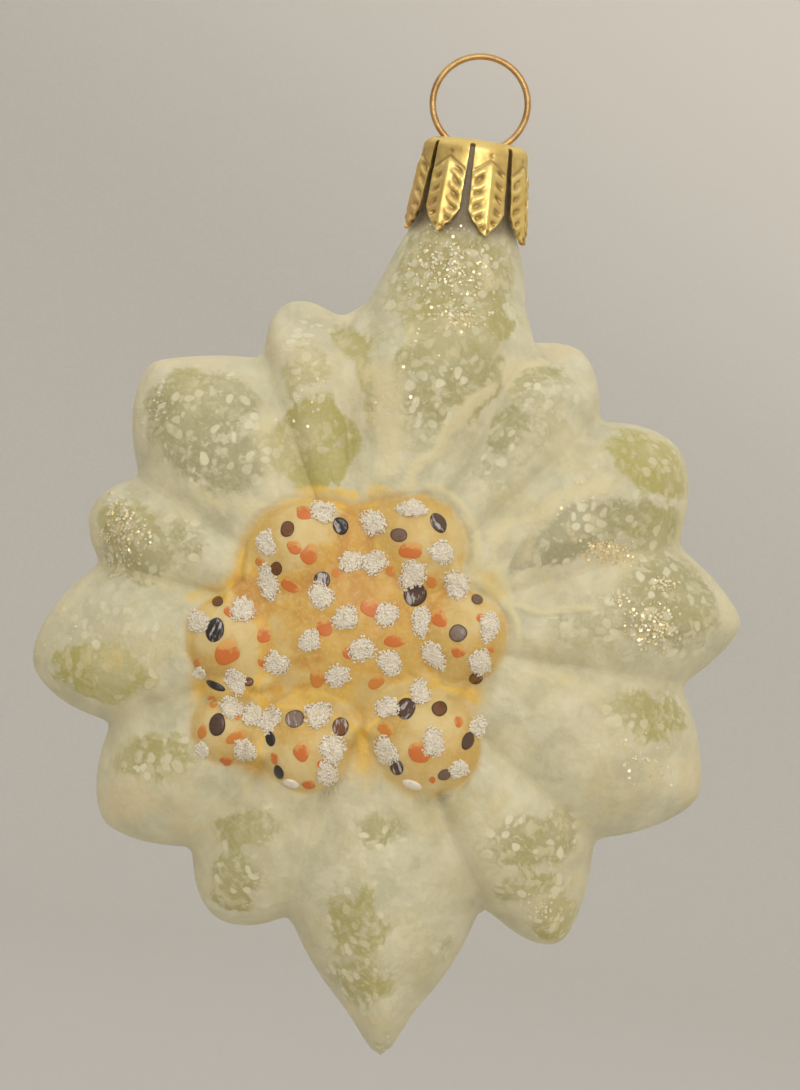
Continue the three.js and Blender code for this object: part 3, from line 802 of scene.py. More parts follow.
@dataclass(frozen=True)
class GlassLacquer:
    """Frosted lacquer on the blown glass: cream ground, green windows, pale dabs, golden beads in the middle."""

    ground: Colour = paint(193, 186, 153)
    ground_cool: Colour = paint(187, 183, 155)
    grey_green: Colour = paint(148, 143, 111)
    leaf_green: Colour = paint(162, 154, 84)
    dab: Colour = paint(206, 201, 173)
    cream: Colour = paint(200, 191, 152)
    peach: Colour = paint(201, 184, 144)
    glow: Colour = paint(210, 179, 82)
    straw: Colour = paint(192, 158, 84)
    pale: Colour = paint(203, 182, 128)
    gold: Colour = paint(212, 174, 72)
    amber: Colour = paint(186, 138, 64)
    # bare neck glass under the cap: its own colour, darkened with painted shade of the cap over it
    bare: Colour = paint(136, 124, 100)
    roughness: float = 0.5

    def _petals(self, r: Recipe, cloud: Socket, strokes: Socket, dabs: Socket, fine: Socket, blots: Socket) -> Socket:
        """The petals' colour.

        Args:
            r: The material being built.
            cloud: Broad noise.
            strokes: Noise drawn out along the petals.
            dabs: Noise about as fine as dabs of a brush.
            fine: Finer noise.
            blots: Where the loose round dabs of pale lacquer sit, from 0 to 1.

        Returns:
            The colour.
        """
        colour = r.mix(r.step(cloud, 0.38, 0.6), self.ground_cool, self.ground)
        colour = r.mix(r.step(strokes, 0.48, 0.68, (0.0, 0.62)), colour, self.dab)
        colour = r.mix(r.step(strokes, 0.5, 0.34, (0.0, 0.27)), colour, self.grey_green)

        green = r.attribute("green")
        veil = r.ragged(r.ragged(green, dabs, 2.2, cloud, 1.4), fine, 0.8, strokes, 1.2)
        veil = r.math("MULTIPLY", r.step(veil, 0.15, 0.7), r.step(green, 0.02, 0.55), clamp=True)
        leafy = r.mix(r.attribute("leaf"), self.grey_green, self.leaf_green)
        leafy = r.mix(r.step(cloud, 0.42, 0.7, (0.0, 0.45)), leafy, self.ground_cool)
        colour = r.mix(r.math("MULTIPLY", veil, 0.95), colour, leafy)
        colour = r.mix(r.math("MULTIPLY", r.attribute("peach"), 0.7), colour, self.peach)

        spots = r.math("MAXIMUM", r.step(fine, 0.57, 0.66, (0.0, 0.6)), r.step(dabs, 0.53, 0.65, (0.0, 0.6)))
        spots = r.math("MAXIMUM", spots, blots)
        spots = r.math("MULTIPLY", spots, r.attribute("fleck"), clamp=True)
        colour = r.mix(r.math("MULTIPLY", spots, 0.9), colour, self.dab)
        ridge = r.step(r.ragged(r.attribute("cream"), dabs, 0.8, fine, 0.5), 0.15, 0.75)
        return r.mix(r.math("MULTIPLY", ridge, 0.9), colour, self.cream)

    def _beads(self, r: Recipe, cloud: Socket, dabs: Socket, grain: Socket) -> Socket:
        """The beads' colour: straw to pale, brushed with gold in the creases and amber in the middle.

        Args:
            r: The material being built.
            cloud: Broad noise.
            dabs: Finer noise.
            grain: The finest noise.

        Returns:
            The colour.
        """
        colour = r.mix(r.step(cloud, 0.38, 0.62), self.straw, self.pale)
        colour = r.mix(r.step(r.ragged(r.attribute("gold"), cloud, 1.2, dabs, 0.7), 0.1, 0.75), colour, self.gold)
        colour = r.mix(r.step(r.ragged(r.attribute("amber"), cloud, 1.2, dabs, 0.7), 0.1, 0.85), colour, self.amber)
        return r.mix(r.math("MULTIPLY", r.step(grain, 0.5, 0.8), 0.25), colour, self.pale)

    def material(self) -> bpy.types.Material:
        """Makes the node material.

        Returns:
            The material, fed by the vertex attributes green, leaf, cream, peach, gold, amber, fleck, bare and bead.
        """
        r = Recipe("glass_lacquer")
        place = r.place()
        bent = r.bent(place, 260.0, 0.0026)
        cloud = r.noise(bent, 165.0, 2.0, 0.55)
        loose = r.bent(place, 420.0, 0.0016)
        dabs = r.noise(loose, 480.0, 4.0, 0.6)
        fine = r.noise(r.bent(place, 900.0, 0.0005), 980.0, 2.0, 0.5)
        strokes = r.noise(r.bent(r.polar(8.0, 330.0), 0.8, 0.6), 1.0, 3.0, 0.55)
        grain = r.noise(place, 2600.0, 1.0, 0.6)
        blots = r.blots(loose, 730.0, 0.36, 0.64)
        petals = self._petals(r, cloud, strokes, dabs, fine, blots)
        glow = r.step(r.ragged(r.attribute("gold"), dabs, 1.0, cloud, 0.8), 0.05, 0.85)
        petals = r.mix(glow, petals, self.glow)
        colour = r.mix(r.attribute("bead"), petals, self._beads(r, cloud, fine, grain))
        colour = r.mix(r.attribute("bare"), colour, self.bare)
        colour = r.mix(r.math("MULTIPLY", r.step(grain, 0.35, 0.75), 0.12), colour, self.dab)
        flat = r.math("SUBTRACT", 1.0, r.attribute("bead"))
        relief = r.math("MULTIPLY", r.math("MULTIPLY_ADD", dabs, 0.5, cloud), flat)
        relief = r.math("MULTIPLY_ADD", fine, 0.35, relief)
        relief = r.math("MULTIPLY_ADD", r.attribute("cream"), 0.5, relief)
        normal = r.bump(relief, 0.0005, 0.8)
        rough = r.step(grain, 0.2, 0.8, (self.roughness - 0.1, self.roughness + 0.1))
        r.set(Base_Color=colour, Roughness=rough, Normal=normal, Subsurface_Weight=0.2, IOR=1.48)
        r.set(Subsurface_Scale=0.0015, Subsurface_Radius=(1.0, 0.9, 0.6), Coat_Weight=0.08, Coat_Roughness=0.3)
        return r.material


@dataclass(frozen=True)
class SnowGrit:
    """White glass grit, glued on in crumbs."""

    white: Colour = (0.95, 0.885, 0.75)
    shadow: Colour = (0.80, 0.67, 0.46)

    def material(self) -> bpy.types.Material:
        """Makes the node material.

        Returns:
            The material.
        """
        r = Recipe("snow_grit")
        place = r.place()
        speck = r.noise(place, 2000.0, 2.0, 0.7)
        colour = r.mix(r.step(speck, 0.56, 0.74), self.white, self.shadow)
        normal = r.bump(speck, 0.00006, 0.8)
        r.set(Base_Color=colour, Roughness=0.55, Normal=normal)
        return r.material


@dataclass(frozen=True)
class DotEnamel:
    """Raised enamel dots: smooth, some with pale grey streaks of painted reflection."""

    # colour of the painted reflection streaks on the glossy dots
    streak: Colour = paint(176, 170, 166)
    black: Colour = paint(30, 22, 20)
    roughness: float = 0.34

    def material(self) -> bpy.types.Material:
        """Makes the node material.

        Returns:
            The material, fed by the vertex attributes tint, local, streak, which marks the dots with painted
            reflection, and edge.
        """
        r = Recipe("dot_enamel")
        tint = r.attribute("tint", "Color")
        local = r.attribute("local", "Vector")
        cloud = r.noise(local, 2.2, 3.0, 0.6)
        colour = r.mix(r.step(cloud, 0.4, 0.75, (0.0, 0.35)), tint, self.black)
        long = r.noise(r.stretched(local, 2.6, 0.7, 1.0), 1.0, 3.0, 0.6)
        # painted reflection: pale grey streaks on the dots that have streak set
        painted_reflection = r.math("MULTIPLY", r.step(long, 0.5, 0.62), r.attribute("streak"))
        colour = r.mix(r.math("MULTIPLY", painted_reflection, 0.85), colour, self.streak)
        colour = r.mix(r.step(r.attribute("edge"), 0.72, 0.98, (0.0, 0.7)), colour, self.black)
        normal = r.bump(cloud, 0.00005, 0.6)
        r.set(Base_Color=colour, Roughness=self.roughness, Normal=normal, Coat_Weight=0.2, Coat_Roughness=0.2)
        return r.material


@dataclass(frozen=True)
class OrangeEnamel:
    """Thin orange dabs, brushed on, worn through to the gold on one side."""

    worn: Colour = paint(205, 163, 92)
    roughness: float = 0.42

    def material(self) -> bpy.types.Material:
        """Makes the node material.

        Returns:
            The material, fed by the vertex attributes tint, local and edge.
        """
        r = Recipe("orange_enamel")
        local = r.attribute("local", "Vector")
        cloud = r.noise(local, 1.5, 3.0, 0.65)
        side = r.node("ShaderNodeSeparateXYZ")
        r.feed(side.inputs[0], r.stretched(local, 0.16, 0.3, 1.0))
        thin = r.math("ADD", r.math("MULTIPLY_ADD", cloud, 1.1, side.outputs["X"]), side.outputs["Y"])
        thin = r.math("MULTIPLY_ADD", r.attribute("edge"), 0.2, thin)
        colour = r.mix(r.step(thin, 0.62, 0.95, (0.0, 0.8)), r.attribute("tint", "Color"), self.worn)
        r.set(Base_Color=colour, Roughness=self.roughness, Normal=r.bump(cloud, 0.00004, 0.6))
        return r.material


@dataclass(frozen=True)
class GlitterFoil:
    """Fine glitter, silver to pale gold."""

    silver: Colour = (0.87, 0.81, 0.60)
    gold: Colour = (0.92, 0.78, 0.47)

    def material(self) -> bpy.types.Material:
        """Makes the node material.

        Returns:
            The material, fed by the vertex attribute warm.
        """
        r = Recipe("glitter_foil")
        noise = r.noise(r.place(), 4000.0, 1.0, 0.5)
        rough = r.step(noise, 0.2, 0.8, (0.28, 0.5))
        r.set(Base_Color=r.mix(r.attribute("warm"), self.silver, self.gold), Metallic=0.6, Roughness=rough)
        return r.material


@dataclass(frozen=True)
class StampedBrass:
    """Gold-coloured stamped sheet: satin, with painted shade that darkens the pressed hollows, a little copper where it
    has worn.
    """

    bright: Colour = (0.88, 0.68, 0.25)
    dull: Colour = (0.77, 0.55, 0.18)
    copper: Colour = (0.74, 0.46, 0.23)
    # colour of the painted shade in the pressed pits
    pit: Colour = (0.40, 0.26, 0.10)
    roughness: float = 0.4

    def material(self) -> bpy.types.Material:
        """Makes the node material.

        Returns:
            The material, fed by the vertex attribute pressed, which sets where the painted shade of the pits lies.
        """
        r = Recipe("stamped_brass")
        place = r.place()
        cloud = r.noise(place, 330.0, 3.0, 0.6)
        fine = r.noise(r.stretched(place, 1.0, 1.0, 0.25), 2600.0, 2.0, 0.6)
        colour = r.mix(r.step(cloud, 0.4, 0.65), self.bright, self.dull)
        # painted shade: darker in the pressed hollows
        colour = r.mix(r.math("MULTIPLY", r.attribute("pressed"), 0.75), colour, self.pit)
        colour = r.mix(r.step(r.noise(place, 210.0, 2.0), 0.56, 0.72, (0.0, 0.5)), colour, self.copper)
        rough = r.step(fine, 0.2, 0.8, (self.roughness - 0.08, self.roughness + 0.12))
        normal = r.bump(r.math("ADD", fine, r.math("MULTIPLY", cloud, 2.0)), 0.00003, 0.6)
        r.set(Base_Color=colour, Metallic=1.0, Roughness=rough, Normal=normal)
        return r.material


@dataclass(frozen=True)
class DrawnWire:
    """Copper-gold drawn wire with fine marks along its length."""

    gold: Colour = (0.60, 0.40, 0.17)
    copper: Colour = (0.46, 0.26, 0.11)
    roughness: float = 0.3

    def material(self) -> bpy.types.Material:
        """Makes the node material.

        Returns:
            The material, fed by the wire's own coordinates in the vertex attribute local.
        """
        r = Recipe("drawn_wire")
        local = r.attribute("local", "Vector")
        marks = r.noise(r.stretched(local, 9.0, 0.6, 1.0), 2.0, 2.0, 0.6)
        cloud = r.noise(r.place(), 420.0, 3.0, 0.6)
        colour = r.mix(r.step(cloud, 0.4, 0.66), self.gold, self.copper)
        rough = r.step(marks, 0.25, 0.75, (self.roughness - 0.08, self.roughness + 0.14))
        r.set(Base_Color=colour, Metallic=1.0, Roughness=rough, Normal=r.bump(marks, 0.00002, 0.6))
        return r.material


# -------- pieces


@dataclass(frozen=True)
class Patch:
    """An airbrushed oval: place, half lengths, turn in degrees, strength, how leafy a green, softness of its edge."""

    right: float
    up: float
    wide: float
    tall: float
    turn: float = 0.0
    strength: float = 1.0
    leaf: float = 0.5
    soft: float = 0.45

    def cover(self, right: Array, up: Array) -> Array:
        """How strongly the oval covers each place: strength inside, easing to 0 across its edge."""
        u, v = turned(right - self.right, up - self.up, -math.radians(self.turn))
        return self.strength * smooth(1 + self.soft, 1 - self.soft, np.hypot(u / self.wide, v / self.tall))


GREEN_PATCHES = (
    Patch(-15.2, 17.4, 5.0, 3.2, -38, 0.95, 0.15, 0.3), Patch(-18.6, 21.2, 3.2, 2.6, -20, 0.85, 0.3, 0.4),
    Patch(-12.4, 22.2, 2.2, 1.6, 10, 0.55, 0.2, 0.4), Patch(-17.6, 24.4, 1.5, 1.9, 10, 0.6, 0.7, 0.5),
    Patch(-5.0, 18.2, 4.2, 4.3, -5, 1.0, 0.95, 0.2), Patch(-1.9, 28.6, 2.2, 1.5, -35, 0.9, 1.0, 0.4),
    Patch(0.4, 23.6, 0.9, 4.8, 8, 0.55, 0.9, 0.5), Patch(8.0, 25.2, 4.2, 4.4, -20, 1.0, 0.4, 0.4),
    Patch(9.6, 30.4, 5.2, 3.0, 0, 1.0, 0.75, 0.4), Patch(8.8, 36.6, 5.2, 4.4, 0, 0.85, 0.6, 0.5),
    Patch(12.0, 23.6, 0.8, 3.6, -32, 0.9, 0.6, 0.4), Patch(13.8, 19.8, 1.5, 3.0, -25, 0.9, 0.3, 0.5),
    Patch(16.6, 25.0, 2.6, 0.8, 20, 0.7, 0.6, 0.4), Patch(21.6, 9.8, 6.6, 2.1, 24, 0.95, 0.1, 0.25),
    Patch(28.2, 10.0, 4.6, 2.2, -8, 0.85, 0.6, 0.4), Patch(28.8, 16.9, 5.4, 3.2, -32, 1.1, 1.0, 0.25),
    Patch(17.4, 7.6, 3.6, 1.2, 28, 0.7, 0.0, 0.4), Patch(30.4, 4.4, 4.6, 3.6, -12, 0.95, 0.35, 0.5),
    Patch(27.8, 0.6, 3.4, 1.8, -25, 0.6, 0.1, 0.5), Patch(28.4, -8.2, 4.6, 2.4, -12, 0.82, 0.7, 0.5),
    Patch(16.7, -20.6, 4.4, 2.7, 20, 0.8, 0.45, 0.45), Patch(16.7, -25.3, 3.4, 1.3, 0, 0.75, 0.6, 0.5),
    Patch(19.7, -28.8, 2.6, 2.0, 20, 1.2, 1.0, 0.3), Patch(-0.7, -28.9, 2.5, 3.4, 0, 0.75, 0.7, 0.5),
    Patch(-0.7, -34.8, 3.2, 1.8, 10, 0.75, 0.8, 0.5), Patch(1.6, -19.7, 2.3, 1.6, 0, 0.65, 0.5, 0.5),
    Patch(8.4, -32.0, 1.8, 1.4, 0, 0.3, 0.5, 0.5), Patch(1.4, -42.0, 1.4, 0.9, 0, 1.0, 1.0, 0.3),
    Patch(-11.8, -19.4, 3.2, 2.0, 10, 0.75, 0.5, 0.45), Patch(-12.7, -24.0, 2.4, 3.0, 10, 0.7, 0.6, 0.5),
    Patch(-13.7, -26.8, 2.1, 1.8, 0, 0.8, 0.8, 0.45), Patch(-20.8, -12.4, 4.4, 2.3, 15, 0.6, 0.7, 0.5),
    Patch(-26.4, -4.2, 4.8, 2.6, -8, 1.0, 1.0, 0.35), Patch(-22.9, 7.4, 3.5, 3.4, 0, 0.9, 0.3, 0.16),
    Patch(-24.0, 10.6, 3.0, 2.2, 0, 0.75, 0.75, 0.4), Patch(-17.4, 9.2, 2.2, 1.9, 0, 0.4, 0.3, 0.4),
)

PEACH_PATCHES = (
    Patch(-24.1, -17.1, 3.4, 2.2, 0, 0.8), Patch(19.9, 27.9, 3.0, 0.9, 0, 0.6),
    Patch(-18.1, 26.6, 3.2, 1.0, 0, 0.6), Patch(-9.4, 28.6, 1.6, 2.6, 20, 0.5),
    Patch(32.4, -15.1, 1.4, 3.0, 0, 0.4), Patch(-6.6, 27.9, 2.2, 2.2, 0, 0.4),
    Patch(-2.6, -38.0, 2.0, 1.6, 0, 0.3),
)

CREAM_BANDS = (
    # the creases between petals, filled with thick cream: start and end (right, up), half width, strength
    ((1.8, 27.0), (2.6, 15.0), 1.7, 0.75),
    ((18.2, 27.2), (13.4, 25.2), 0.7, 0.9),
    ((12.9, 25.2), (4.6, 14.8), 0.75, 0.95),
    ((12.2, 33.0), (11.8, 36.6), 1.1, 0.7),
    ((4.2, 31.0), (3.4, 27.0), 1.2, 0.5),
    ((24.8, 15.2), (12.0, 9.2), 1.0, 0.8),
    ((23.6, 2.0), (14.2, 2.6), 0.6, 0.75),
    ((14.6, 3.0), (12.9, 6.2), 0.7, 0.8),
    ((-10.2, 23.0), (-9.4, 13.0), 1.0, 0.5),
    ((5.6, 16.0), (2.6, 12.8), 1.0, 0.7),
    ((-17.6, 13.6), (-9.0, 11.0), 1.1, 0.5),
)

GOLD_GLOWS = (
    Patch(-3.4, 13.2, 3.0, 1.3, 0, 0.85), Patch(1.6, 13.2, 2.0, 1.4, 0, 0.6),
    Patch(-11.4, 4.6, 1.8, 1.8, 0, 0.6), Patch(-15.8, 3.6, 2.0, 0.8, 0, 0.5),
    Patch(12.4, 4.4, 1.2, 1.8, 0, 0.35), Patch(0.4, -12.4, 1.2, 3.4, 0, 0.45),
    Patch(-10.0, -13.2, 1.0, 2.0, 0, 0.35),
)

GOLDEN_PLACES = (
    Patch(-0.8, 9.6, 2.2, 2.8, 0, 0.85), Patch(-0.6, 4.6, 4.6, 2.4, 0, 0.6), Patch(3.4, 2.6, 3.0, 2.4, 0, 0.5),
    Patch(3.6, -2.6, 3.4, 2.8, 0, 0.6), Patch(0.4, -7.0, 2.4, 2.0, 0, 0.3), Patch(-4.8, -6.2, 4.4, 1.5, 12, 0.7),
    Patch(-10.2, 3.0, 1.6, 2.4, 0, 0.5), Patch(7.4, 3.6, 1.4, 2.2, 0, 0.35), Patch(-8.9, -6.4, 2.2, 1.2, 0, 0.4),
    Patch(-7.4, -1.6, 1.4, 2.8, 0, 0.3), Patch(-0.6, 1.0, 8.4, 6.8, 0, 0.66), Patch(-10.8, 3.8, 1.8, 1.4, 0, 0.9),
)

PETAL_VEILS = (
    # how far the glass shows through the middle of each petal, and how green it is there, clockwise
    (0.4, 0.2), (0.2, 0.25), (0.4, 0.3), (0.05, 0.45), (0.25, 0.5), (0.25, 0.55), (0.2, 0.55), (0.15, 0.6),
    (0.3, 0.8), (0.42, 0.4), (0.55, 0.15), (0.42, 0.8),
)


@dataclass
class LacquerLayout:
    """Where each colour of lacquer lies, as values from 0 to 1 that the vertices carry."""

    form: GlassForm
    names: Sequence[str] = ("green", "leaf", "cream", "peach", "gold", "amber", "fleck", "bare", "bead")

    def unpainted(self, shape: tuple[int, ...]) -> dict[str, Array]:
        """The values of unpainted glass."""
        return {name: np.full(shape, float(name == "bare")) for name in self.names}

    def on(self, points: Array) -> dict[str, Array]:
        """The values at points of the outer surface: the front's, the back's, blended across the outline.

        Args:
            points: Points of the outer surface, shape (..., 3).

        Returns:
            One array for each name.
        """
        x, y, z = np.moveaxis(points, -1, 0)
        front, back = self._front(x, z), self._back(x, z)
        share = smooth(-0.6, 0.9, y) * smooth(-22, -27, z)
        bare = smooth(-18.3, -16.7, z + 0.5 * ripple(x, y, 3.0, 18))
        fields = {name: front[name] * (1 - share) + back[name] * share for name in front}
        fields["green"] = fields["green"] * (1 - bare)
        fields["fleck"] = fields["fleck"] * (1 - bare)
        fields["bare"] = bare
        return {name: np.clip(fields[name], 0, 1) for name in self.names}

    def _polar(self, x: Array, z: Array) -> tuple[Array, Array, Array, Array]:
        """Where points lie round the flower's centre.

        Args:
            x: x of each point.
            z: z of each point.

        Returns:
            Distance and angle from the centre, reach of the outline, and place across the petal.
        """
        r = np.hypot(x - CENTRE[0], z - CENTRE[1])
        angle = np.degrees(np.arctan2(x - CENTRE[0], z - CENTRE[1])) % 360
        return r, angle, self.form.reach(angle), self.form.across(angle)

    def _front(self, x: Array, z: Array) -> dict[str, Array]:
        """The front, laid out one by one: a veil on each petal, ovals, bands between petals, and the beads.

        Args:
            x: x of each point.
            z: z of each point.

        Returns:
            One array for each name but bare.
        """
        r, angle, reach, across = self._polar(x, z)
        true_right, true_up = leaned(x, z)
        right = true_right + 0.5 * ripple(x, z, 5.0, 11)
        up = true_up + 0.5 * ripple(x, z, 5.0, 12)
        tips = [petal.tip for petal in self.form.petals]
        # green windows, from veils and ovals, and how leafy each is
        veil, tone = (np.interp(angle, tips, column, period=360) for column in np.array(PETAL_VEILS).T)
        veil = veil * smooth(0.95, 0.5, across) * smooth(15.5, 19.5, r) * smooth(0.6, 3.0, reach - r)
        covers = np.array([patch.cover(right, up) for patch in GREEN_PATCHES])
        leaves = np.array([patch.leaf for patch in GREEN_PATCHES]).reshape((-1,) + (1,) * right.ndim)
        green = 1 - (1 - veil) * np.prod(1 - covers, axis=0)
        weight = np.sum(covers, axis=0)
        leaf = (np.sum(covers * leaves, axis=0) + 0.3 * veil * tone) / np.maximum(weight + 0.3 * veil, 1e-3)
        peach = np.max([patch.cover(right, up) for patch in PEACH_PATCHES], axis=0)
        # thick cream, in bands, in the creases; along the rim, lighter cream and less green as a painted glow of light
        # through the thin edge
        cream = np.max([self._band(right, up, *band) for band in CREAM_BANDS], axis=0)
        rim = smooth(1.8, 0.3, reach - r) * smooth(-28, -34, z)
        cream = np.maximum(cream, 0.4 * across**6 * smooth(15, 20, r) * smooth(-26, -32, z))
        cream = np.maximum(cream, 0.4 * rim)
        green = green * (1 - 0.6 * rim)

        # the beads on their bed, with gold in the creases between them and amber in the middle
        outside = np.sort([bead.outside(true_right, true_up) for bead in BEADS], axis=0)
        upper_right = smooth(7, 11, true_right) * smooth(-2, 3, true_up)
        bed = smooth(4.8, 1.8, np.maximum(outside[0], 0) + np.maximum(outside[1], 0) + 2.5 * upper_right)
        cream = np.maximum(cream, 0.8 * bell(outside[0] - 1.1, 0.5) * smooth(3, 8, true_right) * smooth(-4, 1, true_up))
        heights = [bead.height(true_right, true_up) for bead in BEADS]
        sheet = self.form.cushion(x, z, Side.FRONT)
        ranked = np.sort(heights, axis=0)
        between = bell(ranked[-1] - ranked[-2], 1.3)
        edge = bell(ranked[-1] - sheet, 1.2) * (0.1 + 0.4 * smooth(3, -6, true_right) * smooth(-9, 0, true_up))
        bead = smooth(0.55, -0.35, outside[0] + 0.15 * ripple(x, z, 2.0, 13))
        bead = np.maximum(bead, bed)
        gold = (1 - bead) * 0.5 * edge * (1 + ripple(x, z, 6.0, 15))
        gold = np.maximum(gold, (1 - bead) * np.max([p.cover(right, up) for p in GOLD_GLOWS], axis=0))
        places = np.max([p.cover(right, up) for p in GOLDEN_PLACES], axis=0)
        bare_bed = bed * smooth(0, 1, outside[0])
        gold = np.maximum(gold, bead * np.max([0.85 * between, edge, 0.8 * places, 0.85 * bare_bed], axis=0))
        amber = bead * (0.75 * places + 0.25 * between) * smooth(-9, -3, true_up)
        # pale dabs, fewer where the upper petals' green is leafy
        hidden = 0.5 * leaf * smooth(0.1, 0.4, weight) * smooth(-16, -8, up)
        fleck = (0.15 + 0.95 * smooth(0.1, 0.5, green)) * (1 - hidden)
        fleck = fleck * smooth(15, 20, r) * (0.8 + 0.35 * ripple(x, z, 9.0, 16))
        return {
            "green": green * (1 - bead), "leaf": leaf, "cream": cream * (1 - bead), "peach": peach, "gold": gold,
            "amber": amber, "fleck": fleck, "bead": bead,
        }

    def _back(self, x: Array, z: Array) -> dict[str, Array]:
        """The back, plainer: one green oval on each petal, cream creases and a golden middle.

        Args:
            x: x of each point.
            z: z of each point.

        Returns:
            One array for each name but bare.
        """
        r, _, reach, across = self._polar(x, z)
        zero = np.zeros_like(r)
        oval = smooth(1.25, 0.6, np.hypot(across / 0.8, (r - 0.66 * reach) / 7.5))
        return {
            "green": 0.85 * oval, "leaf": 0.55 + 0.4 * ripple(x, z, 14.0, 17), "cream": 0.5 * across**4,
            "peach": 0.3 * smooth(4.5, 0.6, reach - r), "gold": 0.6 * smooth(9, 2, r), "amber": zero,
            "fleck": 0.4 + 0.5 * oval, "bead": zero,
        }

    @staticmethod
    def _band(
        right: Array, up: Array, start: tuple[float, float], end: tuple[float, float], half: float, strength: float
    ) -> Array:
        """How strongly a straight band of thick paint covers each point: a bell across it, eased at its ends.

        Args:
            right: How far right of the centre, with the neck leaning.
            up: Up from it.
            start: Right and up of the band's start.
            end: Right and up of its end.
            half: Its half width.
            strength: Its cover along the middle.

        Returns:
            The cover of each point.
        """
        along = np.array(end) - np.array(start)
        length = np.hypot(*along)
        dx, dy = right - start[0], up - start[1]
        t = (dx * along[0] + dy * along[1]) / length**2
        off = (dx * along[1] - dy * along[0]) / length
        return strength * bell(off, half) * smooth(-0.1, 0.15, t) * smooth(1.15, 0.9, t)


@dataclass(frozen=True)
class Bulk:
    """How finely the glass is divided: columns round the outline, rows from the middle out, rings up the neck."""

    flank_steps: int = 13
    neck_steps: int = 40
    middle_rows: int = 100
    middle_share: float = 0.57  # share of the reach that the finer middle rows cover
    front_rows: int = 70
    back_rows: int = 46
    hollow_flank_steps: int = 4
    hollow_rows: int = 12
    neck_rings: int = 44
    lip_steps: int = 6
    crowding: float = 1.6  # power that crowds rows at the outline


@dataclass
class GlassFlower:
    """The blown glass flower with its neck: one closed shell, with its lacquer painted by vertex attributes."""

    form: GlassForm
    bulk: Bulk = field(default_factory=Bulk)

    def __post_init__(self) -> None:
        """Makes the layout of the lacquer."""
        self.layout = LacquerLayout(self.form)

    def _shell(self, draft: MeshDraft, inset: float, flip: bool) -> Array:
        """Adds the two sheets and the tube of one wall.

        Args:
            draft: Where the points and faces go.
            inset: 0 for the outside, the wall's thickness for the hollow.
            flip: Whether the faces turn inwards.

        Returns:
            The indices of the ring of points at the tube's rim.
        """
        form, bulk = self.form, self.bulk
        flank = bulk.hollow_flank_steps if inset else bulk.flank_steps
        columns, outline_count = form.columns(flank, bulk.neck_steps, inset)

        def put(points: Array) -> Array:
            """Adds points with their lacquer."""
            fields = self.layout.unpainted(points.shape[:-1]) if inset else self.layout.on(points)
            return draft.add(points, **fields)

        x, z, depth = columns.T
        rim_front = put(np.stack([x, -depth, z], axis=-1))
        inner_seam = depth > 1e-9
        rim_back = rim_front.copy()
        rim_back[inner_seam] = put(np.stack([x, depth, z], axis=-1)[inner_seam])

        sheets = (
            (Side.FRONT_HOLLOW if inset else Side.FRONT, rim_front, bulk.front_rows),
            (Side.BACK_HOLLOW if inset else Side.BACK, rim_back, bulk.back_rows),
        )
        for side, rim, rows in sheets:
            rows = bulk.hollow_rows if inset else rows
            share = 1 - (1 - np.arange(1, rows) / rows) ** bulk.crowding
            if side is Side.FRONT:
                near = np.arange(1, bulk.middle_rows + 1) / bulk.middle_rows * bulk.middle_share
                share = np.concatenate([near, bulk.middle_share + (1 - bulk.middle_share) * share])
            px = CENTRE[0] + (x - CENTRE[0]) * share[:, None]
            pz = CENTRE[1] + (z - CENTRE[1]) * share[:, None]
            sign = side.value.sign
            grid = put(np.stack([px, sign * form.height(px, pz, side, inset), pz], axis=-1))
            middle = np.array([[CENTRE[0], 0.0, CENTRE[1]]])
            middle[:, 1] = sign * form.height(middle[:, 0], middle[:, 2], side, inset)
            pole = put(middle)[0]
            turned = (sign < 0) != flip
            draft.fan(pole, grid[0], flip=turned)
            draft.weave(np.vstack([grid, rim[None]]), wrap=True, flip=turned)

        front_run = np.arange(outline_count, outline_count + bulk.neck_steps)
        loop = np.concatenate([rim_front[front_run], rim_front[:1], rim_back[front_run[:0:-1]]])
        levels = np.linspace(form.seam_z, form.rim_z, bulk.neck_rings + 1)[1:, None]
        phi = np.pi * (1 - np.arange(len(loop)) / bulk.neck_steps)
        width, half_depth, centre = form.neck(levels)
        ring_x = centre + (width - inset) * np.cos(phi)
        ring_y = -(half_depth - inset) * np.sin(phi)
        tube = put(np.stack([ring_x, ring_y, np.broadcast_to(levels, ring_x.shape)], axis=-1))
        draft.weave(np.vstack([loop[None], tube])[::-1], wrap=True, flip=flip)
        return tube[-1]

    def _lip(self, draft: MeshDraft, outer: Array, inner: Array) -> None:
        """Joins the two walls over the neck's rim: a half circle from the outer ring to the inner ring.

        Args:
            draft: Where the points and faces go.
            outer: The points of the outer ring.
            inner: The points of the inner ring.
        """
        form, bulk = self.form, self.bulk
        width, depth, middle = (float(v) for v in form.neck(form.rim_z))
        phi = np.pi * (1 - np.arange(len(outer)) / bulk.neck_steps)
        turn = np.linspace(0, np.pi, bulk.lip_steps + 1)[1:-1, None]
        half = form.wall / 2
        inwards = half - half * np.cos(turn)
        x = middle + (width - inwards) * np.cos(phi)
        y = -(depth - inwards) * np.sin(phi)
        z = np.broadcast_to(form.rim_z + form.lip * np.sin(turn), x.shape)
        lip = draft.add(np.stack([x, y, z], axis=-1), **self.layout.unpainted(x.shape))
        draft.weave(np.vstack([outer[None], lip, inner[None]])[::-1], wrap=True)

    def build(self) -> bpy.types.Object:
        """Makes the flower.

        Returns:
            The finished object.
        """
        draft = MeshDraft()
        outer = self._shell(draft, 0.0, flip=False)
        inner = self._shell(draft, self.form.wall, flip=True)
        self._lip(draft, outer, inner)
        return draft.build("glass_flower_shell", GlassLacquer().material())


@dataclass(frozen=True)
class Crumb:
    """A crumb of grit: place, half width, how much taller than wide, turn in degrees, smooth or grainy."""

    right: float
    up: float
    size: float
    tall: float = 1.0
    turn: float = 0.0
    smooth: bool = False


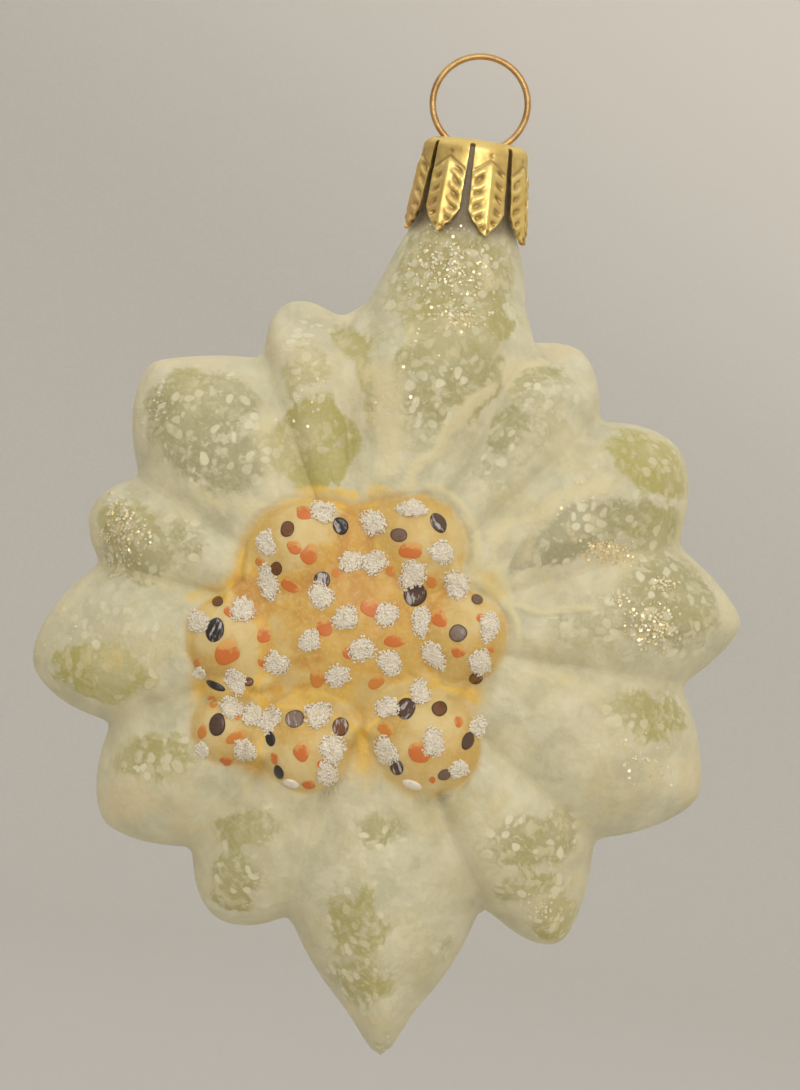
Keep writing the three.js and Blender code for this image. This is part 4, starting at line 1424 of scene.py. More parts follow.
CRUMBS = (
    Crumb(-4.1, 11.7, 1.0, 0.9, -20), Crumb(0.8, 10.6, 1.05), Crumb(4.6, 12.0, 1.15, 0.6, -8),
    Crumb(-9.7, 8.6, 0.75, 1.35), Crumb(7.5, 7.7, 0.9, 1.1), Crumb(-1.4, 6.8, 0.95, 0.9),
    Crumb(0.9, 6.7, 1.05, 0.95), Crumb(4.7, 5.5, 1.1, 1.1), Crumb(-9.5, 4.7, 0.85, 1.6, 12),
    Crumb(-4.3, 3.5, 0.95, 1.15), Crumb(9.0, 4.5, 1.1, 1.0), Crumb(-16.4, 0.9, 0.8, 1.2),
    Crumb(-12.0, 2.1, 0.95, 1.15, -20), Crumb(-1.9, 1.3, 1.0), Crumb(2.1, 1.6, 0.95, 1.1),
    Crumb(5.5, 0.9, 0.8, 1.5), Crumb(12.2, 0.4, 0.85, 1.3), Crumb(-5.4, -1.0, 0.9),
    Crumb(-8.7, -3.2, 1.0), Crumb(-0.3, -1.8, 1.05), Crumb(2.4, -3.1, 0.95, 1.15),
    Crumb(6.7, -2.4, 0.85, 1.4, 28), Crumb(11.3, -3.1, 0.95, 1.1, -20), Crumb(-2.7, -4.4, 0.95),
    Crumb(-12.7, -5.0, 0.85, 1.2, 20), Crumb(5.4, -6.0, 0.85, 1.15), Crumb(-13.1, -7.5, 0.95, 0.9),
    Crumb(-11.0, -8.3, 0.8, 1.2), Crumb(-9.3, -8.7, 0.75, 1.5, -15), Crumb(-4.6, -8.2, 1.1, 1.0),
    Crumb(2.2, -7.5, 0.95, 0.9), Crumb(-11.8, -11.7, 0.85, 1.15), Crumb(-3.2, -11.6, 0.95, 1.5),
    Crumb(-3.7, -14.0, 0.85, 1.1), Crumb(2.0, -11.8, 0.95, 1.2, 20), Crumb(6.7, -10.9, 0.95, 1.2),
    Crumb(11.1, -9.4, 0.7, 1.1), Crumb(9.2, -13.6, 0.7, 1.1), Crumb(-7.3, -15.0, 0.85, 0.5, -15, True),
    Crumb(4.6, -15.1, 1.0, 0.45, -20, True), Crumb(-16.0, -11.7, 0.5, 1.2), Crumb(-16.3, -4.2, 0.45, 1.1),
)


@dataclass
class GritCrumbs:
    """The crumbs of snow grit: a low ragged lump each, set all over with sharp grains."""

    drape: Drape
    grains: int = 280
    rings: int = 9
    spokes: int = 40
    rise: float = 0.34  # height of a lump for each unit of its size
    foot: float = -0.15  # how deep its underside is sunk, in millimetres
    waves: Sequence[tuple[int, float]] = ((2, 0.10), (3, 0.07), (4, 0.06), (7, 0.04))

    def build(self) -> bpy.types.Object:
        """Makes every crumb as one piece.

        The reach of a crumb at turn p is its size * (1 + the sum of share * sin(waves * p + phase)). The lump's
        height at share s of its reach is rise * size * sqrt(1 - s ^ 2.4), roughened; each grain is an octahedron,
        stretched and turned at random, half sunk into the lump.

        Returns:
            The finished object.
        """
        draw = np.random.default_rng(SEED)
        right, up, size, tall, turn, plain = each(CRUMBS, "right", "up", "size", "tall", "turn", "smooth")
        lean = np.radians(turn)
        phases = draw.uniform(0, 2 * np.pi, (len(self.waves), len(CRUMBS), 1, 1))
        rugged = 1 - plain

        def spot(s: Array, p: Array) -> tuple[Array, Array]:
            """Points of the crumbs.

            Args:
                s: Share of each crumb's reach.
                p: Turn round its middle.

            Returns:
                Right and up of the points.
            """
            raggedness = sum(share * np.sin(n * p + phase) for (n, share), phase in zip(self.waves, phases))
            reach = 1.2 * size * s * (1 + rugged * raggedness)
            a, b = turned(reach * np.cos(p), reach * np.sin(p) * tall, lean)
            return right + a, up + b

        draft = MeshDraft()
        s = np.linspace(0, 1, self.rings + 1)[1:, None] * np.ones((1, self.spokes))
        p = np.linspace(0, 2 * np.pi, self.spokes, endpoint=False) * np.ones((self.rings, 1))
        u, v = spot(0.88 * s, p)
        rough = (0.015 + 0.05 * rugged) * draw.normal(size=u.shape)
        lift = self.rise * size * np.sqrt(1 - s**2.4) + rough * (1 - s**6) - 0.05 * s**8
        top = draft.add(self.drape.points(u, v, lift))
        low = draft.add(self.drape.points(u[:, :-1], v[:, :-1], np.full_like(u[:, :-1], self.foot)))
        poles = draft.add(self.drape.points(right[:, 0], up[:, 0], self.rise * size[:, 0]))
        feet = draft.add(self.drape.points(right[:, 0], up[:, 0], np.full_like(up[:, 0], self.foot)))
        draft.lenses(top, low, poles[:, 0], feet[:, 0])

        shape = (len(CRUMBS), 1, self.grains)
        share = np.sqrt(draw.uniform(0, 1.12, shape))
        u, v = spot(share, draw.uniform(0, 2 * np.pi, shape))
        lift = self.rise * size * np.sqrt(np.maximum(0, 1 - share**2.4)) + draw.uniform(-0.04, 0.1, shape)
        centre = self.drape.points(u, v, lift)[plain[:, 0, 0] < 0.5].reshape(-1, 3)
        count = len(centre)
        octahedron = np.array([[1, 0, 0], [-1, 0, 0], [0, 1, 0], [0, -1, 0], [0, 0, 1], [0, 0, -1.0]])
        scale = draw.uniform(0.07, 0.16, (count, 1, 1)) * draw.uniform(0.6, 1.4, (count, 1, 3))
        index = draft.add(centre[:, None] + np.einsum("nij,nvj->nvi", turns(count, draw), octahedron * scale))
        ends = np.array([[0, 2, 4], [2, 1, 4], [1, 3, 4], [3, 0, 4], [2, 0, 5], [1, 2, 5], [3, 1, 5], [0, 3, 5]])
        draft.face(index[:, ends].reshape(-1, 3))
        return draft.build("snow_grit_crumbs", SnowGrit().material())


class Tint(Enum):
    """Colours of the enamel dots, 0 to 255, as they look under the studio light."""

    BROWN = (104, 62, 20)
    UMBER = (76, 52, 38)
    PLUM = (110, 84, 70)
    SLATE = (122, 103, 90)
    BLACK = (34, 26, 24)
    ORANGE = (192, 106, 46)
    AMBER = (192, 122, 52)


@dataclass(frozen=True)
class Dab:
    """A dot of enamel: place, half width, colour, how much taller than wide, turn in degrees, and whether it shows
    painted reflection streaks.
    """

    right: float
    up: float
    size: float
    tint: Tint
    tall: float = 1.0
    turn: float = 0.0
    streaked: bool = False


DARK_DABS = (
    Dab(-7.6, 10.0, 0.68, Tint.BROWN, 1.25, -12), Dab(-2.4, 10.3, 0.75, Tint.BLACK, 1.25, 25, True),
    Dab(3.3, 9.4, 0.85, Tint.PLUM, 0.85), Dab(7.2, 10.6, 0.75, Tint.UMBER, 1.45, 35, True),
    Dab(-8.7, 6.1, 0.6, Tint.BROWN, 1.2), Dab(-4.2, 5.0, 0.85, Tint.UMBER, 1.0, 0, True),
    Dab(4.9, 3.6, 1.15, Tint.UMBER, 1.1, 0, True), Dab(11.0, 3.1, 0.6, Tint.PLUM, 0.85, -20),
    Dab(-14.5, 2.9, 0.6, Tint.BROWN, 0.85, 25), Dab(-14.7, 0.1, 0.95, Tint.BLACK, 1.3, -18, True),
    Dab(9.1, -0.2, 0.93, Tint.SLATE, 0.95), Dab(10.9, -4.7, 0.72, Tint.BROWN, 0.85, 20),
    # the thin black dots at (-14.7, -5.4) and (-9.3, -10.6), on the beads' lower left edges, are partly dots seen
    # edge-on and partly painted shade in the creases
    Dab(-14.7, -5.4, 1.1, Tint.BLACK, 0.35, -25), Dab(-11.5, -5.0, 0.6, Tint.BROWN, 0.75),
    Dab(-14.5, -9.2, 0.85, Tint.UMBER, 1.35, -10), Dab(-6.9, -8.6, 0.98, Tint.SLATE, 0.9, 10, True),
    Dab(-2.4, -9.4, 0.85, Tint.BROWN, 1.1, 0, True), Dab(-9.3, -10.6, 0.5, Tint.BLACK, 1.5, 15),
    Dab(4.0, -7.6, 0.95, Tint.UMBER, 1.15, -30, True), Dab(7.3, -7.6, 0.78, Tint.BROWN, 1.0),
    Dab(10.1, -10.8, 0.6, Tint.UMBER, 1.6, -20), Dab(3.1, -13.4, 0.7, Tint.UMBER, 1.1, 20, True),
    Dab(7.8, -14.1, 0.7, Tint.PLUM, 0.8, 25), Dab(-8.5, -13.9, 0.5, Tint.BLACK, 1.5, 15),
)

ORANGE_DABS = (
    Dab(-5.9, 11.6, 1.0, Tint.ORANGE, 0.7, -8), Dab(-6.9, 8.2, 0.75, Tint.ORANGE, 1.0),
    Dab(-5.4, 7.5, 0.95, Tint.ORANGE, 1.1, -15), Dab(-10.3, 6.8, 0.5, Tint.AMBER, 1.1),
    Dab(-7.3, 4.4, 1.05, Tint.ORANGE, 0.6, -20), Dab(4.5, 7.9, 1.2, Tint.ORANGE, 0.8),
    Dab(6.5, 4.9, 0.6, Tint.AMBER, 1.3), Dab(2.5, 5.9, 0.5, Tint.AMBER, 1.2), Dab(-2.8, 5.7, 0.5, Tint.AMBER),
    Dab(0.6, 2.3, 1.0, Tint.ORANGE, 1.05), Dab(-3.9, 0.4, 0.85, Tint.ORANGE, 1.2, 25),
    Dab(-13.3, 1.9, 0.55, Tint.ORANGE, 1.1, 30), Dab(-9.9, -0.4, 0.75, Tint.ORANGE, 1.1, 15),
    Dab(-13.5, -2.1, 1.4, Tint.ORANGE, 0.9, 20), Dab(7.2, 1.3, 0.85, Tint.ORANGE, 1.2, 15),
    Dab(11.3, 1.3, 0.45, Tint.ORANGE, 1.0), Dab(2.9, -1.0, 1.1, Tint.ORANGE, 0.6, -8),
    Dab(-1.6, -2.1, 0.6, Tint.ORANGE, 1.2), Dab(9.1, -2.0, 0.75, Tint.ORANGE, 0.85),
    Dab(12.4, -1.8, 0.4, Tint.AMBER), Dab(-10.1, -3.1, 0.4, Tint.ORANGE, 1.3, 30),
    Dab(-4.6, -4.6, 0.95, Tint.AMBER, 1.0), Dab(1.1, -5.0, 0.95, Tint.AMBER, 0.7, 30),
    Dab(-16.5, -3.2, 0.45, Tint.AMBER, 1.2), Dab(-15.0, -6.9, 0.5, Tint.AMBER, 1.4, 10),
    Dab(-16.0, -9.9, 0.5, Tint.AMBER, 1.5, -15), Dab(-12.6, -10.4, 1.1, Tint.AMBER, 0.6, 25),
    Dab(-12.4, -8.3, 0.45, Tint.AMBER, 1.0), Dab(-13.6, -12.8, 0.75, Tint.ORANGE, 0.7),
    Dab(-6.2, -11.8, 0.9, Tint.ORANGE, 1.1), Dab(-8.9, -12.5, 0.4, Tint.ORANGE, 1.7, 15),
    Dab(-5.5, -15.1, 0.8, Tint.ORANGE, 0.6), Dab(-4.2, -13.0, 0.5, Tint.ORANGE, 1.0),
    Dab(2.0, -9.6, 0.8, Tint.AMBER, 1.0), Dab(5.4, -11.8, 1.15, Tint.ORANGE, 1.1, 0),
    Dab(9.2, -8.9, 0.5, Tint.ORANGE, 1.1), Dab(6.6, -14.6, 0.35, Tint.ORANGE),
)


@dataclass
class EnamelDots:
    """A set of enamel dots of one kind, each a low lens that follows the glass under it."""

    name: str
    dabs: Sequence[Dab]
    finish: Union[DotEnamel, OrangeEnamel]
    drape: Drape
    thickness: float
    unevenness: float  # how far a dot's edge strays from its oval
    rings: int = 9
    spokes: int = 40
    foot: float = -0.12  # how deep a dot's underside is sunk

    def build(self) -> bpy.types.Object:
        """Makes the set as one piece.

        A dot's height at share s of its reach is thickness * (1 - s ^ 6) ^ 0.5, and its edge is sunk a little
        into the glass.

        Returns:
            The finished object.
        """
        draw = np.random.default_rng(SEED + len(self.dabs))
        right, up, size, tall, turn, streaked = each(self.dabs, "right", "up", "size", "tall", "turn", "streaked")
        count = len(self.dabs)
        tints = np.array([paint(*d.tint.value) for d in self.dabs])[:, None, None]
        seeds = (np.arange(count) * 7.31)[:, None, None]  # own part of the noise for each dot
        s = np.linspace(0, 1, self.rings + 1)[1:, None] ** 0.8 * np.ones((1, self.spokes))
        p = np.linspace(0, 2 * np.pi, self.spokes, endpoint=False) * np.ones((self.rings, 1))
        ragged = np.ones((count, 1, self.spokes))
        for waves in (2, 3, 4):
            phase = draw.uniform(0, 2 * np.pi, (count, 1, 1))
            ragged = ragged + self.unevenness / waves * np.sin(waves * p[:1] + phase)
        a = size * s * ragged * np.cos(p)
        b = size * s * ragged * np.sin(p) * tall
        du, dv = turned(a, b, np.radians(turn))
        u, v = right + du, up + dv
        lift = self.thickness * np.sqrt(1 - s**6) - 0.04 * s**12
        draft = MeshDraft()

        def put(pick: slice, lifted: Array) -> Array:
            """Adds rings of the dots with their colour and their own coordinates.

            Args:
                pick: Which rings.
                lifted: Their height above the glass.

            Returns:
                The indices of their points.
            """
            shape = u[:, pick].shape
            local = np.stack([a[:, pick], b[:, pick], np.broadcast_to(seeds, shape)], axis=-1)
            colour = np.broadcast_to(tints, (*shape, 3))
            # where the dots show painted reflection streaks
            streak = np.broadcast_to(streaked, shape)
            points = self.drape.points(u[:, pick], v[:, pick], lifted)
            edge = np.broadcast_to(s[pick], shape)
            return draft.add(points, tint=colour, local=local, streak=streak, edge=edge)

        top = put(slice(None), np.broadcast_to(lift, u.shape))
        low = put(slice(None, -1), np.full_like(u[:, :-1], self.foot))
        levels = (self.thickness, self.foot)
        ends = [self.drape.points(right[:, 0], up[:, 0], np.full((count, 1), level)) for level in levels]
        own = np.concatenate([np.zeros((count, 2, 2)), np.repeat(seeds, 2, axis=1)], axis=-1)
        poles = draft.add(
            np.concatenate(ends, axis=1), tint=np.repeat(tints[:, 0], 2, axis=1).reshape(count, 2, 3), local=own,
            streak=np.repeat(streaked[:, 0], 2, axis=1), edge=np.zeros((count, 2)),
        )
        draft.lenses(top, low, *poles.T)
        return draft.build(self.name, self.finish.material())


GLITTER_CLOUDS = (
    # right, up, half width, half height, flakes, share of gold
    (8.3, 35.7, 3.2, 3.3, 330, 0.3), (9.0, 31.0, 2.6, 1.2, 90, 0.3), (23.8, 7.7, 1.9, 1.0, 170, 0.8),
    (28.3, 0.3, 2.0, 1.8, 210, 0.6), (24.9, 3.1, 0.9, 0.5, 26, 0.5), (29.4, 4.4, 1.2, 1.0, 40, 0.5),
    (27.4, -13.1, 2.6, 2.2, 50, 0.4), (-24.2, 10.0, 2.2, 2.6, 240, 0.5), (-20.4, 22.0, 1.2, 1.4, 30, 0.2),
    (-6.0, 23.4, 2.4, 2.4, 26, 0.1), (17.9, -27.6, 1.8, 1.3, 40, 0.3), (1.4, -41.6, 0.9, 0.9, 12, 0.3),
    (-31.0, -1.6, 2.6, 2.4, 10, 0.1), (20.4, 12.4, 3.2, 1.6, 12, 0.1), (4.4, 27.0, 4.0, 6.0, 24, 0.1),
)


@dataclass
class Glitter:
    """Loose clouds of glitter: thin six-sided flakes, tilted at random off the surface."""

    form: GlassForm
    smallest: float = 0.08
    largest: float = 0.2
    thickness: float = 0.03
    step: float = 0.05  # over which the glass's slope is taken
    tilt: float = 0.38  # how far a flake leans from the glass at random, as a slope
    steepest: float = 3.0  # slope of the glass that still holds a flake

    def build(self) -> bpy.types.Object:
        """Makes every flake as one piece.

        Returns:
            The finished object.
        """
        draw = np.random.default_rng(SEED + 5)
        places, warm = [], []
        for right, up, wide, tall, count, gold in GLITTER_CLOUDS:
            spread = np.clip(draw.normal(size=(count, 2)), -2.2, 2.2) * [wide / 1.6, tall / 1.6]
            places.append([right, up] + spread)
            warm.append(draw.uniform(0, 1, count) < gold)
        right, up = np.concatenate(places).T
        x, z = unleaned(right, up)
        y = -self.form.height(x, z, Side.FRONT)
        slope_x = (self.form.height(x + self.step, z, Side.FRONT) + y) / self.step
        slope_z = (self.form.height(x, z + self.step, Side.FRONT) + y) / self.step
        kept = (y < -1.0) & (np.hypot(slope_x, slope_z) < self.steepest)
        normal = np.stack([-slope_x, -np.ones_like(x), -slope_z], axis=1)[kept]
        normal /= np.linalg.norm(normal, axis=1, keepdims=True)
        centre = np.stack([x, y, z], axis=1)[kept] + normal * self.thickness
        count = len(centre)
        normal = normal + draw.normal(scale=self.tilt, size=(count, 3))
        normal /= np.linalg.norm(normal, axis=1, keepdims=True)
        side, rise = frames_on(normal)
        corner = np.arange(6) * np.pi / 3 + draw.uniform(0, np.pi, (count, 1))
        size = draw.uniform(self.smallest, self.largest, (count, 1))
        flat = (size * np.cos(corner))[..., None] * side[:, None] + (size * np.sin(corner))[..., None] * rise[:, None]
        half = normal[:, None] * self.thickness / 2
        draft = MeshDraft()
        glow = np.broadcast_to(np.concatenate(warm).astype(float)[kept][:, None], (count, 6))
        top = draft.add(centre[:, None] + flat + half, warm=glow)
        low = draft.add(centre[:, None] + flat - half, warm=glow)
        draft.face(top)
        draft.face(low[:, ::-1])
        after_top, after_low = np.roll(top, -1, axis=1), np.roll(low, -1, axis=1)
        draft.face(np.stack([low, after_low, after_top, top], axis=-1).reshape(-1, 4))
        made = draft.build("glitter_flakes", GlitterFoil().material())
        made.data.polygons.foreach_set("use_smooth", np.zeros(len(made.data.polygons), bool))
        return made


@dataclass
class CrownCap:
    """The stamped crown cap: a plate with a rounded edge and eight leaf-shaped tabs with pressed veins."""

    middle: float = 0.2
    top_z: float = -8.3
    sheet: float = 0.28
    top_radius: float = 5.3
    corner_radius: float = 1.1
    tabs: int = 8
    phase: float = 18.0  # turn of the first tab, in degrees
    top_half_angle: float = 19.6  # half of a tab's angle under the corner
    half_angle: float = 18.2  # and further down
    end_radius: float = 6.25
    shoulder_z: float = -15.4  # where a tab begins to narrow
    end_z: float = -17.8
    keel: float = 0.28  # how far a tab's middle line stands out
    leg_hole_x: float = 2.6
    leg_hole_radius: float = 0.75
    leaf_from: float = 0.9  # where the pressed leaf begins and ends, below the corner
    leaf_to: float = 8.9
    vein_spacing: float = 1.3
    vein_slant: float = 0.6
    vein: float = 0.10  # heights of its veins and rib, and depth of the pits between the veins
    rib: float = 0.14
    pit: float = 0.22
    bevel: float = 0.04
    columns: int = 32
    plate_rows: int = 8
    corner_rows: int = 17
    drill_sides: int = 32

    def _relief(self, across: Array, down: Array, half_width: Array, turn: float) -> Array:
        """Height of the pressed leaf: a groove that opens downwards from its top, a rib, and veins with pits.

        Args:
            across: Place across the tab, -1 to 1.
            down: Distance down the tab, in millimetres.
            half_width: Half width of the tab there, in millimetres.
            turn: Angle of the tab, which sets its unevenness.

        Returns:
            The relief in millimetres, outwards.
        """
        wide = np.abs(across) * half_width
        below = down - self.leaf_from - 0.7 * wide
        leaf = smooth(0.0, 0.35, below) * smooth(self.leaf_to, self.leaf_to - 0.7, down)
        uneven = ripple(across * half_width + 9 * turn, down, 1.6, 31)
        place = (down - self.vein_slant * wide - 0.45 * (across > 0) - 0.3) / self.vein_spacing
        vein = np.cos(2 * np.pi * place + 0.5 * uneven)
        ridges = self.vein * smooth(0, 1, vein) * smooth(0.3, 0.6, wide) * smooth(1.0, 0.8, np.abs(across))
        pits = self.pit * smooth(0.1, 0.9, -vein) * bell(wide - 0.58 * half_width, 0.34) * (1 + 0.4 * uneven)
        rib = self.rib * bell(wide, 0.36)
        rim = 0.06 * smooth(0.45, 0.2, half_width - wide)
        groove = 0.1 * bell(below + 0.05, 0.13) * smooth(0.0, 0.2, down) * smooth(1.0, 0.85, np.abs(across))
        dimple = 0.1 * bell(np.hypot(across * half_width, down - 0.4), 0.2)
        return (rib + ridges + rim - pits) * leaf - groove - dimple + 0.02 * uneven * smooth(0, 0.5, down)

    def _tab_grid(self, turn: float) -> tuple[Array, Array]:
        """Points of one sector, from the middle of the plate over the corner to the tab's point.

        Args:
            turn: Angle of the sector's middle, in radians, to the right of the front.

        Returns:
            Points of shape (rows, columns, 3), and how deep each is pressed, which the brass darkens as painted shade.
        """
        across = np.linspace(-1, 1, self.columns + 1)
        bend_z = self.top_z - self.corner_radius
        inner = self.top_radius - self.corner_radius
        plate = np.linspace(0, 1, self.plate_rows + 1)[:-1] * inner
        arc = np.linspace(0, np.pi / 2, self.corner_rows)
        down_z = np.linspace(bend_z, self.shoulder_z, 60)[1:]
        down_z = np.append(down_z, np.linspace(self.shoulder_z, self.end_z, 26)[1:])
        radius = np.concatenate([plate, inner + self.corner_radius * np.sin(arc)])
        height = np.concatenate([np.full(self.plate_rows, self.top_z), bend_z + self.corner_radius * np.cos(arc)])
        full = 180 / self.tabs
        open_ = np.where(arc > 0.62 * np.pi / 2, self.top_half_angle, full)
        share = np.interp(-down_z, [-self.shoulder_z, -self.shoulder_z + 1.0, -self.end_z], [1, 0.7, 0.04])
        fall = np.clip((bend_z - down_z) / (bend_z - self.end_z), 0, 1)
        radius = np.concatenate([radius, self.top_radius + (self.end_radius - self.top_radius) * fall**1.2])
        narrowing = self.top_half_angle + (self.half_angle - self.top_half_angle) * smooth(0, 0.7, fall)
        half = np.concatenate([np.full(self.plate_rows, full), open_, narrowing * share])
        z = np.concatenate([height, down_z])[:, None]
        fall = np.concatenate([np.zeros(len(height)), fall])[:, None]
        tip = np.concatenate([np.ones(len(height)), share])[:, None]
        half_width = radius[:, None] * np.radians(half)[:, None]
        relief = self._relief(across, bend_z - z, np.maximum(half_width, 1e-3), turn) * (fall > 0)
        keel = self.keel * tip * (1 - np.abs(across)) * smooth(0, 0.25, fall)
        reach = radius[:, None] + keel + relief
        angle = np.radians(half)[:, None] * across + turn
        x, y = self.middle + reach * np.sin(angle), -reach * np.cos(angle)
        return np.stack([x, y, np.broadcast_to(z, reach.shape)], axis=-1), smooth(0.03, -0.06, relief) * (fall > 0)

    def build(self) -> bpy.types.Object:
        """Makes the cap: eight sectors welded along the plate, given their thickness inwards, with two leg holes.

        Returns:
            The finished object.
        """
        draft = MeshDraft()
        for k in range(self.tabs):
            points, pressed = self._tab_grid(math.radians(self.phase) + 2 * math.pi * k / self.tabs)
            draft.weave(draft.add(points, pressed=pressed))
        made = draft.build("stamped_crown_cap")
        weld = made.modifiers.new("weld", "WELD")
        weld.merge_threshold = 1e-6
        wall = made.modifiers.new("wall", "SOLIDIFY")
        wall.thickness = self.sheet * MM
        wall.offset = -1
        wall.use_even_offset = False
        cutters = []
        for side in (-1, 1):
            centre = Matrix.Translation((side * self.leg_hole_x * MM, 0, self.top_z * MM))
            drill = MeshDraft()
            p = np.linspace(0, 2 * np.pi, self.drill_sides, endpoint=False)
            ring = np.stack([self.leg_hole_radius * np.cos(p), self.leg_hole_radius * np.sin(p)], axis=-1)
            levels = [np.column_stack([ring, np.full(len(p), h)]) for h in (1.0, -1.0)]
            grid = drill.add(np.array(levels), pressed=np.zeros((2, len(p))))
            drill.weave(grid, wrap=True)
            drill.face(grid[:1])
            drill.face(grid[1:, ::-1])
            cutter = drill.build("cap_drill")
            cutter.data.transform(centre)
            cut = made.modifiers.new("leg_hole", "BOOLEAN")
            cut.operation = "DIFFERENCE"
            cut.object = cutter
            cutters.append(cutter)
        depsgraph = bpy.context.evaluated_depsgraph_get()
        finished = bpy.data.meshes.new_from_object(made.evaluated_get(depsgraph), depsgraph=depsgraph)
        made.modifiers.clear()
        made.data = finished
        made.data.name = made.name
        for cutter in cutters:
            bpy.data.meshes.remove(cutter.data)
        edge = made.modifiers.new("edge", "BEVEL")
        edge.width = self.bevel * MM
        edge.segments = 2
        edge.limit_method = "ANGLE"
        edge.angle_limit = math.radians(50)
        made.data.materials.clear()
        made.data.materials.append(StampedBrass().material())
        return made


@dataclass
class WireHanger:
    """The sprung wire: a ring whose two ends turn down through the cap and splay inside the neck."""

    radius: float = 0.33
    ring_radius: float = 4.75
    end_x: float = 2.85
    leg_x: float = 2.42
    splay: float = 0.09
    leg_top_z: float = -9.0
    leg_end_z: float = -24.0
    sides: int = 20
    leg_steps: int = 16
    bend_steps: int = 14
    arc_steps: int = 180
    end_share: float = 0.7  # radius of the rounded ends, over the wire's

    def path(self) -> Array:
        """The wire's middle line in x and z: leg, bend, arc over the top, bend, leg.

        The bends are curves a(1-t)^2 + 2b t(1-t) + c t^2 between the leg and the tangent of the ring's end.

        Returns:
            Points of shape (count, 2).
        """
        centre_z = self.radius - self.ring_radius
        drop = math.sqrt(self.ring_radius**2 - self.end_x**2)
        end = np.array([self.end_x, centre_z - drop])
        top = np.array([self.leg_x, self.leg_top_z])
        corner = np.array([self.leg_x, centre_z - drop - (self.end_x - self.leg_x) * self.end_x / drop])
        foot = np.array([self.leg_x + self.splay * (self.leg_top_z - self.leg_end_z), self.leg_end_z])
        t = np.linspace(0, 1, self.bend_steps)[1:, None]
        bend = top * (1 - t) ** 2 + 2 * corner * t * (1 - t) + end * t**2
        leg = foot + (top - foot) * np.linspace(0, 1, self.leg_steps)[:, None]
        half = math.atan2(self.end_x, -drop)
        a = np.linspace(half, -half, self.arc_steps)[1:-1]
        arc = np.stack([self.ring_radius * np.sin(a), centre_z + self.ring_radius * np.cos(a)], axis=1)
        right = np.concatenate([leg, bend])
        return np.concatenate([right, arc, (right * [-1, 1])[::-1]])

    def build(self) -> bpy.types.Object:
        """Makes the wire: a circle carried along the path, with rounded ends.

        Returns:
            The finished object.
        """
        path = self.path()
        ahead = np.gradient(path, axis=0)
        ahead /= np.linalg.norm(ahead, axis=1, keepdims=True)
        out = np.stack([ahead[:, 1], -ahead[:, 0]], axis=1)
        p = np.linspace(0, 2 * np.pi, self.sides, endpoint=False)
        r = np.full((len(path), 1), self.radius)
        r[[0, -1]] *= self.end_share
        x = path[:, :1] + out[:, :1] * r * np.cos(p)
        z = path[:, 1:] + out[:, 1:] * r * np.cos(p)
        y = r * np.sin(p) + 0 * x
        run = np.concatenate([[0], np.cumsum(np.linalg.norm(np.diff(path, axis=0), axis=1))])[:, None]
        local = np.stack([np.cos(p) + 0 * x, run + 0 * x, np.sin(p) + 0 * x], axis=-1)
        draft = MeshDraft()
        grid = draft.add(np.stack([x, y, z], axis=-1), local=local)
        draft.weave(grid, wrap=True, flip=True)
        draft.face(grid[:1, ::-1])
        draft.face(grid[-1:])
        return draft.build("drawn_wire_hanger", DrawnWire().material())


# -------- studio


@dataclass(frozen=True)
class PaleFloor:
    """The matt floor and wall, a little fibrous, with painted light that makes them lighter towards the upper right."""

    low: Colour = (0.57, 0.555, 0.52)
    fibre: Colour = (0.59, 0.575, 0.54)
    # colour of the painted light towards the upper right
    high: Colour = (0.83, 0.80, 0.745)

    def material(self) -> bpy.types.Material:
        """Makes the node material.

        Returns:
            The material.
        """
        r = Recipe("pale_floor")
        colour = r.mix(r.step(r.noise(r.place(), 900.0, 3.0, 0.6), 0.3, 0.7), self.low, self.fibre)
        side = r.node("ShaderNodeSeparateXYZ")
        r.feed(side.inputs[0], r.place())
        # painted light: lighter towards the upper right
        painted_light_share = r.step(r.math("MULTIPLY_ADD", side.outputs["X"], 0.5, side.outputs["Z"]), -0.03, 0.18)
        r.set(Base_Color=r.mix(painted_light_share, colour, self.high), Roughness=0.9)
        return r.material


@dataclass(frozen=True)
class Lamp:
    """A round soft light: its place and width in metres, and its power in watts."""

    name: str
    place: tuple[float, float, float]
    width: float
    power: float


